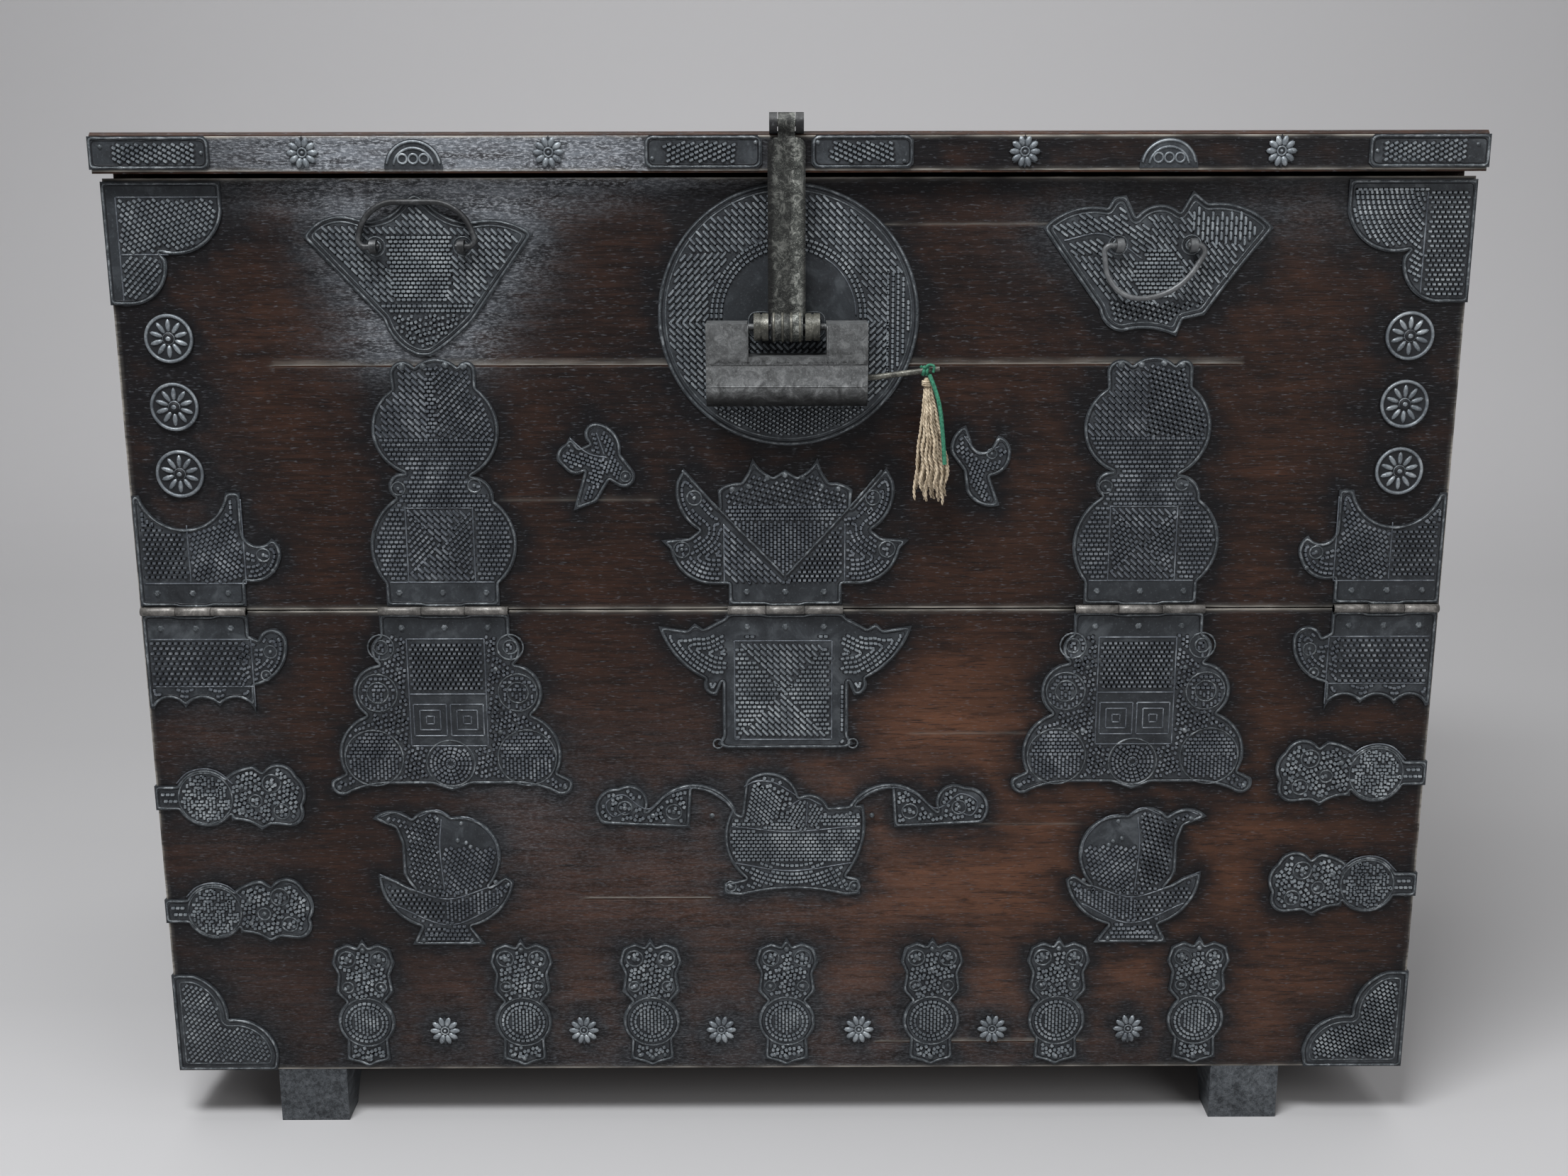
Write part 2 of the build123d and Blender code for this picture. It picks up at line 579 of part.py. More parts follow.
def hasp():
    """Flat bar from the top knuckle down to an eye for the lock rod."""
    (c0, c1), _ = hasp_spans()
    wide, neck, eye = HASP_WIDE / 2, HASP_CENTRE_WIDE / 2, EYE_WIDE / 2
    shoulder = HASP_AXIS_Z - HASP_BARREL_R - HASP_SHOULDER
    low = shoulder - HASP_ROUND
    bow = (1 - cos(pi / 4)) * HASP_ROUND
    round_in = wide - HASP_ROUND
    half = outline((0, HASP_AXIS_Z), (0, ROD_Z), (eye, ROD_Z), (eye, ROD_Z + EYE_R - EYE_NECK),
                   (wide, ROD_Z + EYE_R), (wide, low), ((wide - bow, shoulder - bow), (round_in, shoulder)),
                   (neck, shoulder), (neck, HASP_AXIS_Z))
    bar = plate(both_halves(half), HASP_X, 0, HASP_THICK, ROD_Y + HASP_THICK / 2)
    bar += rod_x(c0, c1, ROD_Y, HASP_AXIS_Z, HASP_BARREL_R)
    bar += rod_x(HASP_X - eye, HASP_X + eye, ROD_Y, ROD_Z, EYE_R)
    bar -= rod_x(c0 - 1, c1 + 1, ROD_Y, HASP_AXIS_Z, HASP_PIN_R + PIN_CLEAR)
    return bar - rod_x(HASP_X - EYE_WIDE, HASP_X + EYE_WIDE, ROD_Y, ROD_Z, ROD_R + ROD_LOOSE)


def strap_bed():
    """Space of the strap in the top board: a band that ends in a pointed leaf."""
    _, sides = hasp_spans()
    half = (sides[1][1] - sides[0][0]) / 2
    end = TOP_Y + STRAP_LONG
    leaf_start = end - 4 * STRAP_LEAF
    right = outline((0, TOP_Y), (half, TOP_Y), (half, leaf_start),
                    ((half + STRAP_LEAF, end - 2 * STRAP_LEAF), (0, end)))
    return Pos(HASP_X, 0, TOP_Z - STRAP_THICK) * extrude(both_halves(right), STRAP_THICK)


def hasp_strap():
    """Strap let into the top board, its two knuckles in front of the board's edge."""
    _, sides = hasp_spans()
    strap = strap_bed()
    for a, b in sides:
        strap += block(a, b, ROD_Y, TOP_Y + 1, TOP_Z - STRAP_THICK, TOP_Z)
        strap += rod_x(a, b, ROD_Y, HASP_AXIS_Z, HASP_BARREL_R)
        strap -= rod_x(a - 1, b + 1, ROD_Y, HASP_AXIS_Z, HASP_PIN_R + PIN_CLEAR)
    return strap


def hasp_pin():
    _, sides = hasp_spans()
    return rod_x(sides[0][0], sides[1][1], ROD_Y, HASP_AXIS_Z, HASP_PIN_R)


def staple_spans():
    near = EYE_WIDE / 2 + STAPLE_GAP
    return [(HASP_X - near - STAPLE_WIDE, HASP_X - near), (HASP_X + near, HASP_X + near + STAPLE_WIDE)]


def staple_stems():
    """Square shanks of the two staples through lock plate and door."""
    stems = []
    half = STAPLE_STEM / 2
    start = ROD_Y + (ROD_R + ROD_LOOSE + STAPLE_R) / 2
    end = FRONT + FRONT_THICK + CLINCH
    for a, b in staple_spans():
        mid = (a + b) / 2
        stems.append(block(mid - half, mid + half, start, end, ROD_Z - half, ROD_Z + half))
    return joined(stems)


def hasp_staples():
    """Two grooved eyes on the door, one each side of the hasp's eye."""
    eyes = []
    for a, b in staple_spans():
        mid = (a + b) / 2
        g0, g1 = mid - STAPLE_GROOVE / 2, mid + STAPLE_GROOVE / 2
        groove = rod_x(g0, g1, ROD_Y, ROD_Z, STAPLE_R + 1)
        groove -= rod_x(g0, g1, ROD_Y, ROD_Z, STAPLE_R - STAPLE_GROOVE_DEEP)
        eyes.append(rod_x(a, b, ROD_Y, ROD_Z, STAPLE_R) - groove)
    whole = joined(eyes) + staple_stems()
    (a, _), (_, b) = staple_spans()
    return whole - rod_x(a - 1, b + 1, ROD_Y, ROD_Z, ROD_R + ROD_LOOSE)


def lock_plate():
    place_z = SEAM_Z + LOCK_PLATE_UP * DOOR_RISE
    return ornament(disc(0, 0, LOCK_PLATE_R), LOCK_PLATE_X, place_z) - staple_stems()


# ---- padlock ----
def lock_section(low, high):
    """Side view of the lock: flat front and back, half-round underside; axes Y and Z."""
    half = LOCK_DEEP / 2
    return outline((ROD_Y - half, low), ((ROD_Y, low - half), (ROD_Y + half, low)), (ROD_Y + half, high),
                   (ROD_Y - half, high))


def along_x(side_view, x0, x1):
    return Pos(x0, 0, 0) * extrude(Plane.YZ * side_view, x1 - x0)


def lock_cavity():
    """Spring chamber, open at the bolt's end."""
    return block(LOCK_BODY_X0, LOCK_X1 - LOCK_WALL, ROD_Y - CAVITY_WIDE / 2, ROD_Y + CAVITY_WIDE / 2,
                 FRAME_LOW - CAVITY_CLEAR, FRAME_TOP + CAVITY_CLEAR)


def keyhole():
    half = KEY_FRAME_HALF + FRAME_CLEAR
    return block(LOCK_X1 - LOCK_WALL - 1, LOCK_X1 + 1, ROD_Y - half, ROD_Y + half,
                 FRAME_LOW - FRAME_CLEAR, FRAME_TOP + FRAME_CLEAR)


def padlock_body():
    shell = along_x(lock_section(BAR_Z, NOTCH_Z), LOCK_BODY_X0, LOCK_X1)
    half = LOCK_DEEP / 2
    shell += block(LOCK_BODY_X0, LOCK_X0 + CHEEK_WIDE, ROD_Y - half, ROD_Y + half, NOTCH_Z, LOCK_TOP)
    shell += block(LOCK_X1 - CHEEK_WIDE, LOCK_X1, ROD_Y - half, ROD_Y + half, NOTCH_Z, LOCK_TOP)
    shell -= lock_cavity()
    socket_end = LOCK_X1 - CHEEK_WIDE + ROD_SOCKET + 1
    shell -= rod_x(LOCK_BODY_X0 - 1, socket_end, ROD_Y, ROD_Z, ROD_R + SLEEVE_CLEAR)
    return shell - keyhole()


def padlock_bolt():
    """Sliding half: end plate, shackle rod, and the stem with its two leaf springs."""
    bolt = along_x(lock_section(BAR_Z, LOCK_TOP), LOCK_X0, LOCK_BODY_X0)
    bolt += rod_x(LOCK_BODY_X0 - 1, LOCK_X1 - CHEEK_WIDE + ROD_SOCKET, ROD_Y, ROD_Z, ROD_R)
    tip = LOCK_BODY_X0 + STEM_LONG
    bolt += block(LOCK_BODY_X0 - 1, tip, ROD_Y - STEM_THICK / 2, ROD_Y + STEM_THICK / 2,
                  STEM_Z - STEM_TALL / 2, STEM_Z + STEM_TALL / 2)
    root = STEM_THICK / 2
    end = tip - SPRING_FREE
    spring = outline((tip, 0), (tip, root), (end, SPRING_SPREAD), (end, SPRING_SPREAD - SPRING_THICK),
                     (tip - SPRING_ROOT, root - SPRING_THICK / 2), (tip - SPRING_ROOT, 0))
    spring_solid = Pos(0, ROD_Y, STEM_Z - STEM_TALL / 2) * extrude(spring, STEM_TALL)
    return bolt + spring_solid + mirror(spring_solid, Plane.XZ.offset(-ROD_Y))


def key():
    """Push key: frame that slides over the springs and closes them, shank below it, upturned end."""
    tip = LOCK_X1 - LOCK_WALL - KEY_REACH
    path = FilletPolyline((tip, ROD_Y, KEY_Z), (LOCK_X1 + KEY_BEND_OUT, ROD_Y, KEY_Z),
                          (LOCK_X1 + KEY_OUT, ROD_Y, KEY_Z + KEY_RISE), radius=KEY_BEND_R)
    shank = sweep(Plane(origin=(tip, ROD_Y, KEY_Z), z_dir=(1, 0, 0)) * Circle(KEY_R), path)
    frame = block(tip, tip + KEY_FRAME, ROD_Y - KEY_FRAME_HALF, ROD_Y + KEY_FRAME_HALF, FRAME_LOW, FRAME_TOP)
    low = STEM_Z - STEM_TALL / 2 - KEY_WINDOW_CLEAR
    frame -= block(tip - 1, tip + KEY_FRAME + 1, ROD_Y - KEY_WINDOW_HALF, ROD_Y + KEY_WINDOW_HALF,
                   low, FRAME_TOP - FRAME_WALL)
    return shank + frame


def key_knot():
    """Green cord wound round the key's end."""
    half = outline((KEY_R, -KNOT_LONG / 2), (KNOT_R - KNOT_CHAMFER, -KNOT_LONG / 2),
                   (KNOT_R, -KNOT_LONG / 2 + KNOT_CHAMFER), (KNOT_R, KNOT_LONG / 2 - KNOT_CHAMFER),
                   (KNOT_R - KNOT_CHAMFER, KNOT_LONG / 2), (KEY_R, KNOT_LONG / 2))
    knot = Rot(0, 90, 0) * revolve(Plane.XZ * half, Axis.Z)
    tilt = atan2(KEY_SLOPE, 1) * 180 / pi
    return Pos(KNOT_X, ROD_Y, KNOT_Z) * Rot(0, -tilt, 0) * knot


def key_cord():
    path = FilletPolyline(*CORD_POINTS, radius=list(CORD_RADII))
    start = path.position_at(0)
    section = Plane(origin=start, z_dir=path.tangent_at(0)) * Circle(CORD_R)
    tube = sweep(section, path)
    print("cord", round(path.length, 1), "mm long, volume", round(tube.volume, 1), "against",
          round(pi * CORD_R ** 2 * path.length, 1), "radii", CORD_RADII)
    return tube


def tassel():
    """Bundle of twisted threads, tied close under the knot."""
    waist = TASSEL_TOP_R + 0.5
    half = outline((0, 0), (TASSEL_TOP_R, 0), (TASSEL_TOP_R + 1.0, -6), (waist, -12),
                   ((TASSEL_R - 6, -TASSEL_LONG * 0.55), (TASSEL_R, -TASSEL_LONG + 10)),
                   (TASSEL_R - 5, -TASSEL_LONG), (0, -TASSEL_LONG))
    place = Pos(KNOT_X - TASSEL_IN, ROD_Y, KNOT_Z - KNOT_R - TASSEL_GAP)
    return place * Rot(0, -TASSEL_LEAN, 0) * revolve(Plane.XZ * half, Axis.Z)


# ---- bail handles ----
def posts(which):
    """Eye posts through backplate and door, one for each end of a bail."""
    x, r, half = BAILS[which]
    bore = r + BAIL_CLEAR
    y_eye = FRONT - BAIL_OUT
    y0 = y_eye + bore + EYE_WALL / 4
    y1 = FRONT + FRONT_THICK + CLINCH
    pair = []
    for side in (-1, 1):
        mid = x + side * (half - EYE_IN - EYE_LONG / 2)
        eye = rod_x(mid - EYE_LONG / 2, mid + EYE_LONG / 2, y_eye, BAIL_Z, bore + EYE_WALL)
        shank = Pos(mid, (y0 + y1) / 2, BAIL_Z) * Rot(90, 0, 0) * Cylinder(POST_R, y1 - y0)
        pair.append(eye + shank - rod_x(mid - EYE_LONG, mid + EYE_LONG, y_eye, BAIL_Z, bore))
    return pair


def bail(which):
    """Bail of round iron whose ends turn inward through the eyes."""
    x, r, half = BAILS[which]
    tip = half - BAIL_TIP_IN - r
    if which == "left":
        rise = LEFT_BAIL_RISE
        points = [(-half * 0.86, rise), (half * 0.74, rise)]
        radii = [24, 28]
        lean = LEFT_BAIL_LEAN
    else:
        drop = -RIGHT_BAIL_DROP
        points = [(-half * 0.86, drop), (half * 0.42, drop)]
        radii = [24, 42]
        lean = 0.0
    route = [(-tip, 0), (-half, 0), *points, (half, 0), (tip, 0)]
    path = FilletPolyline(*[(x, 0, z) for x, z in route], radius=[BAIL_ELBOW, *radii, BAIL_ELBOW])
    rod = sweep(Plane(origin=path.position_at(0), z_dir=path.tangent_at(0)) * Circle(r), path)
    return Pos(x, FRONT - BAIL_OUT, BAIL_Z) * Rot(-lean, 0, 0) * rod


# ---- case ornaments ----
def strap_plate():
    """Roundel with a cloud scroll; x runs inward from the chest's edge."""
    cloud = outline((50, 16), ((61, 22), (70, 24)), (76, 19), ((90, 25), (100, 16)), ((106, 4), (103, -6)),
                    ((101, -18), (90, -21)), (80, -20), (73, -24), ((63, -18), (52, -17)))
    return rect(0, -STRAP_TAB, 20, STRAP_TAB) + disc(34.5, 0, 21.5) + cloud


def side_strap(name):
    side = -1 if name.startswith("left") else 1
    z = BODY_BOTTOM + STRAP_UP[name] * LOWER_RISE
    tab = STRAP_TAB * FIT
    skin = side_skin(side, SIDE_RETURN, z - tab, z + tab)
    return ornament(handed(strap_plate(), side), side * EDGE, z) + skin


def base_corner(side):
    """Two-lobed plate at a lower corner, turned round the edge."""
    tall = BASE_CORNER_TALL
    shape = outline((0, 0), (71, 0), (73, 12), ((62, 34), (38, 41)), ((31, 64), (14, tall)), (0, tall))
    skin = side_skin(side, SIDE_RETURN, BODY_BOTTOM, BODY_BOTTOM + tall * FIT)
    return ornament(handed(shape, side), side * EDGE, BODY_BOTTOM) + skin


def peach_plate():
    """Peach with two leaves in a footed bowl; x from the bowl's middle, z from its foot."""
    peach = outline((-51, 97), ((-37, 103), (-23, 97)), ((-8, 104), (5, 98)), ((32, 89), (38, 60)),
                    ((30, 45), (0, 36)), ((-21, 41), (-31, 56)), (-31, 78), (-35, 90))
    bowl = outline((-49, 55), ((-44, 34), (-20, 14)), (-27, 0), (26, 0), (16, 14), ((41, 31), (48, 49)),
                   (42, 53), ((0, 38), (-36, 50)))
    return peach + bowl


def basket_plate():
    """Footed fruit bowl between two ribbon scrolls; x from the bowl's middle, z from its feet."""
    bowl = outline((-43, 64), ((-45, 28), (-33, 12)), (-49, 8), (-49, 0), (-36, -1), ((0, 4), (38, -1)),
                   (49, 0), (49, 12), (39, 14), ((50, 36), (51, 68)), (26, 66), ((14, 76), (5, 74)),
                   ((-12, 92), (-33, 86)), (-36, 60))
    ribbon = outline((40, 66), ((69, 84), (96, 71)), (104, 63), ((106, 79), (123, 81)),
                     ((137, 75), (135, 54)), (73, 51), (71, 80), ((56, 76), (40, 58)))
    return bowl + both_halves(ribbon)


def owl_plate():
    """Roundel on a small foot, under a scroll block with three peaks; drawn from the roundel's centre."""
    half = outline((0, -36), (5, -33), (16, -30), (15, -14), ((21, 0), (14, 16)), (21, 24), (19, 38),
                   (23, 47), (20, 58), (11, 62), (4, 59), (0, 66))
    return both_halves(half)


def flower(r, petals=8):
    """Flower with pointed petals."""
    inner = 0.62 * r
    reach = [r if i % 2 == 0 else inner for i in range(2 * petals)]
    turns = [pi * i / petals for i in range(2 * petals)]
    return outline(*[(out * cos(turn), out * sin(turn)) for out, turn in zip(reach, turns)])


# ---- top board ornaments ----
def top_end_plate(side):
    """Plate with a clipped inner end, turned round the corner of the top board."""
    high, clip = TOP_ORNAMENT, TOP_CLIP
    half = outline((-TOP_SIDE, 0), (END_PLATE_IN, 0), (END_PLATE_IN, high - clip),
                   (END_PLATE_IN - clip, high), (-TOP_SIDE, high))
    shape = half + mirror(half, Plane.XZ)
    face = plate(handed(shape, side), side * EDGE, TOP_MID, TOP_SHEET, TOP_Y)
    x0, x1 = sorted((side * (EDGE + TOP_SIDE), side * (EDGE + TOP_SIDE + TOP_SHEET)))
    return face + block(x0, x1, TOP_Y - TOP_SHEET, TOP_Y + SIDE_RETURN, TOP_MID - high, TOP_MID + high)


def top_inner_plate(x0, x1):
    """Plate beside the hasp with clipped corners."""
    shape = chamfer(rect(x0, -TOP_ORNAMENT, x1, TOP_ORNAMENT).vertices(), TOP_CLIP)
    return plate(shape, 0, TOP_MID, TOP_SHEET, TOP_Y)


def half_round():
    window = rect(-HALF_ROUND_R, -TOP_ORNAMENT, HALF_ROUND_R, TOP_ORNAMENT)
    return disc(0, -TOP_ORNAMENT, HALF_ROUND_R) & window


def top_row(sketch, places):
    """The same ornament at several places on the edge of the top board."""
    return Compound(children=[plate(sketch, x * SPREAD, TOP_MID, TOP_SHEET, TOP_Y) for x in places])


def front_row(sketch, places, up):
    """The same ornament at several places on the lower front board."""
    z = BODY_BOTTOM + up * LOWER_RISE
    return Compound(children=[ornament(sketch, x * SPREAD, z) for x in places])


# ---- build ----
os.makedirs("parts", exist_ok=True)

save("top_board", top_board())
save("left_side_board", side_board(-1))
save("right_side_board", side_board(1))
save("back_board", back_board())
save("bottom_board", bottom_board())
save("lower_front_board", lower_front_board())
save("left_runner", runner(-EDGE + LEFT_RUNNER_IN))
save("right_runner", runner(EDGE - RIGHT_RUNNER_IN))
save("door_board", door_board())

hinges = hinge_places()
for which, side in SIDES.items():
    place = hinges[f"{which}_gourd"]
    save(f"{which}_gourd_leaf", leaf(gourd_leaf(), *place, True))
    save(f"{which}_pyramid_leaf", leaf(pyramid_leaf(), *place, False))
    place = hinges[f"{which}_outer"]
    save(f"{which}_outer_upper_leaf", leaf(handed(outer_upper_leaf(), side), *place, True))
    save(f"{which}_outer_lower_leaf", leaf(handed(outer_lower_leaf(), side), *place, False))
save("lotus_leaf", leaf(lotus_leaf(), *hinges["centre"], True))
save("roof_leaf", leaf(roof_leaf(), *hinges["centre"], False))
save("hinge_pins", hinge_pins())
save("door_nails", leaf_nails(1))
save("case_nails", leaf_nails(-1))

rosette_x = EDGE - ROSETTE_IN * FIT
rosette_z = [SEAM_Z + up * DOOR_RISE for up in ROSETTE_UP]
rosettes = [rosette(side * rosette_x, z) for side in SIDES.values() for z in rosette_z]
save("door_rosettes", Compound(children=rosettes))
for which, sketch in (("left", fan_plate()), ("right", bat_plate())):
    save(f"{which}_handle_plate", ornament(sketch, BAILS[which][0], BAIL_Z) - joined(posts(which)))
    save(f"{which}_handle_posts", Compound(children=posts(which)))
    save(f"{which}_bail", bail(which))
bird_z = SEAM_Z + BIRD_UP * DOOR_RISE
birds = [ornament(sketch, BIRD_X[which] * SPREAD, bird_z)
         for which, sketch in (("left", left_bird()), ("right", right_bird()))]
save("door_birds", Compound(children=birds))

save("hasp_strap", hasp_strap())
save("hasp_pin", hasp_pin())
save("hasp", hasp())
save("hasp_staples", hasp_staples())
save("lock_plate", lock_plate())
save("padlock_body", padlock_body())
save("padlock_bolt", padlock_bolt())
save("key", key())
save("key_knot", key_knot())
save("key_cord", key_cord())
save("tassel", tassel())

for name in STRAP_UP:
    save(f"{name}_strap", side_strap(name))
peach_z = BODY_BOTTOM + PEACH_UP * LOWER_RISE
for which, side in SIDES.items():
    save(f"{which}_door_corner", door_corner(side))
    save(f"{which}_base_corner", base_corner(side))
    save(f"{which}_top_end_plate", top_end_plate(side))
    peach_x = side * (EDGE - PEACH_IN[which] * SPREAD)
    save(f"{which}_peach_plate", ornament(handed(peach_plate(), side), peach_x, peach_z))
save("basket_plate", ornament(basket_plate(), BASKET_X * SPREAD, BODY_BOTTOM + BASKET_UP * LOWER_RISE))
save("owl_plates", front_row(owl_plate(), OWL_X, OWL_UP))
save("lower_flowers", front_row(flower(FLOWER_R), FLOWER_X, FLOWER_UP))
save("top_inner_plates", Compound(children=[top_inner_plate(x0, x1) for x0, x1 in INNER_PLATES]))
save("top_flowers", top_row(flower(TOP_FLOWER_R), TOP_FLOWER_X))
save("top_half_rounds", top_row(half_round(), HALF_ROUND_X))
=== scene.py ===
import json
import math

import bpy
import numpy as np
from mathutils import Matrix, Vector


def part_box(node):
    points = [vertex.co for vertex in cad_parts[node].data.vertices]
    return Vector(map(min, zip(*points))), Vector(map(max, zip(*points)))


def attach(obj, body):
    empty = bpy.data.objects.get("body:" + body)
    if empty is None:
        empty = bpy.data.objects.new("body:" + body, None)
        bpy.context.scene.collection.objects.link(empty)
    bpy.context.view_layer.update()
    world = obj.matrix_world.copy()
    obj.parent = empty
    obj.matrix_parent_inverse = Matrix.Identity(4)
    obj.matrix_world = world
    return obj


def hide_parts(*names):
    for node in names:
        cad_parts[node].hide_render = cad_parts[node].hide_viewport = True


# Looks of a Korean bandaji chest. Ornament outlines are read from the frame's own plates, and everything that
# is laid out on them is in millimetres in the plane of the front, (x, z), until a mesh is made in metres.

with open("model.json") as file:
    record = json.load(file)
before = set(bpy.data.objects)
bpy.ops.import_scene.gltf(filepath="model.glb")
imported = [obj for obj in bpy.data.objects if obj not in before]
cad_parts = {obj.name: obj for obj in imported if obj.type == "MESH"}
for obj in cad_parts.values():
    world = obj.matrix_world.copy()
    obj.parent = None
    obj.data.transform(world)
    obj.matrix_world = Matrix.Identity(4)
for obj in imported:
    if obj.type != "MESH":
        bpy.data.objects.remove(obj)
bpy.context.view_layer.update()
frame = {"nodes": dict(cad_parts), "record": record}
MM = 0.001
NODES = frame["nodes"]
BODY_OF = {node: body for body, nodes in frame["record"]["behaviour"]["bodies"].items() for node in nodes}
CHANCE = np.random.default_rng(7)


def box_mm(node):
    low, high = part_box(node)
    return np.array(low) / MM, np.array(high) / MM


def add_object(name, data):
    made = bpy.data.objects.new(name, data)
    bpy.context.scene.collection.objects.link(made)
    return made


# ---- places read from the frame ----
FRONT = box_mm("lower_front_board")[0][1]
EDGE = box_mm("lower_front_board")[1][0]
BODY_BOTTOM = box_mm("lower_front_board")[0][2]
LOWER_TOP = box_mm("lower_front_board")[1][2]
DOOR_BOTTOM = box_mm("door_board")[0][2]
DOOR_TOP = box_mm("door_board")[1][2]
SEAM_Z = (LOWER_TOP + DOOR_BOTTOM) / 2
TOP_LOW, TOP_HIGH = box_mm("top_board")
TOP_Y = TOP_LOW[1]
LOCK_LOW, LOCK_HIGH = box_mm("padlock_body")
HASP_LOW, HASP_HIGH = box_mm("hasp")


# ---- camera ----
LENS = 40.07                              # millimetres on a 36 mm wide sensor
CAMERA_AT = (-7.8, FRONT - 1174.1, 686.2)
CAMERA_PITCH = 13.402                     # degrees below the horizon
CAMERA_YAW = 0.196                        # degrees towards +X
CAMERA_ROLL = 0.112


def make_camera():
    data = bpy.data.cameras.new("camera")
    data.lens = LENS
    data.sensor_width = 36.0
    camera = add_object("camera", data)
    camera.location = [c * MM for c in CAMERA_AT]
    turn = (math.radians(90 - CAMERA_PITCH), math.radians(CAMERA_ROLL), -math.radians(CAMERA_YAW))
    camera.rotation_euler = turn
    bpy.context.scene.camera = camera


make_camera()


# ---- node materials ----
class Shader:
    """A material's node tree with short ways to add nodes to it."""

    def __init__(self, name):
        self.material = bpy.data.materials.new(name)
        self.material.use_nodes = True
        self.nodes = self.material.node_tree.nodes
        self.links = self.material.node_tree.links
        self.bsdf = self.nodes["Principled BSDF"]
        self.place = self.nodes.new("ShaderNodeNewGeometry").outputs["Position"]

    def plug(self, node, inputs):
        """Links each input to another node's output, or sets it to a number or colour."""
        for key, value in inputs.items():
            socket = node.inputs[key]
            if isinstance(value, bpy.types.NodeSocket):
                self.links.new(value, socket)
            else:
                socket.default_value = (*value, 1) if socket.type == "RGBA" else value

    def node(self, kind, inputs):
        made = self.nodes.new(kind)
        self.plug(made, inputs)
        return made

    def axis(self, name):
        return self.node("ShaderNodeSeparateXYZ", {0: self.place}).outputs[name]

    def stretched(self, x, y, z):
        node = self.node("ShaderNodeVectorMath", {0: self.place, 1: (x, y, z)})
        node.operation = "MULTIPLY"
        return node.outputs[0]

    def attribute(self, name):
        node = self.nodes.new("ShaderNodeAttribute")
        node.attribute_name = name
        return node.outputs["Fac"]

    def noise(self, vector, scale, detail=4.0, rough=0.55, distortion=0.0):
        node = self.node("ShaderNodeTexNoise", {"Vector": vector, "Scale": scale, "Detail": detail})
        self.plug(node, {"Roughness": rough, "Distortion": distortion})
        return node.outputs["Fac"]

    def ramp(self, fac, *stops):
        """Colour ramp; each stop is (place, colour) or (place, grey)."""
        node = self.node("ShaderNodeValToRGB", {"Fac": fac})
        elements = node.color_ramp.elements
        elements.remove(elements[1])
        for i, (at, colour) in enumerate(stops):
            element = elements.new(at) if i else elements[0]
            element.position = at
            element.color = (colour, colour, colour, 1) if isinstance(colour, float) else (*colour, 1)
        return node.outputs["Color"]

    def mix(self, fac, a, b, blend="MIX"):
        node = self.nodes.new("ShaderNodeMix")
        node.data_type = "RGBA"
        node.blend_type = blend
        self.plug(node, {"Factor": fac, "A": a, "B": b})
        return node.outputs["Result"]

    def math(self, operation, a, b):
        node = self.node("ShaderNodeMath", {0: a, 1: b})
        node.operation = operation
        return node.outputs[0]

    def bump(self, height, strength, distance):
        node = self.node("ShaderNodeBump", {"Height": height, "Strength": strength, "Distance": distance})
        self.links.new(node.outputs["Normal"], self.bsdf.inputs["Normal"])

    def finish(self, colour, rough, metallic=0.0, specular=0.5):
        self.plug(self.bsdf, {"Base Color": colour, "Roughness": rough, "Metallic": metallic,
                              "Specular IOR Level": specular})
        return self.material


# The soot colour darkens pores, and through the darkening share it also paints shadow at the iron plates'
# edges.
SOOT_AND_SHADE = (0.0065, 0.0065, 0.0075)
# The dust colour fills scratches; with the sheen colour it also paints sheen, reflected light, where the
# sheen share is high. The sheen colour also paints scattered glints.
DUST_AND_SHEEN = (0.140, 0.152, 0.170)
SHEEN = (0.40, 0.42, 0.45)
BARE = (0.46, 0.43, 0.38)
AMBER = (0.190, 0.082, 0.043)


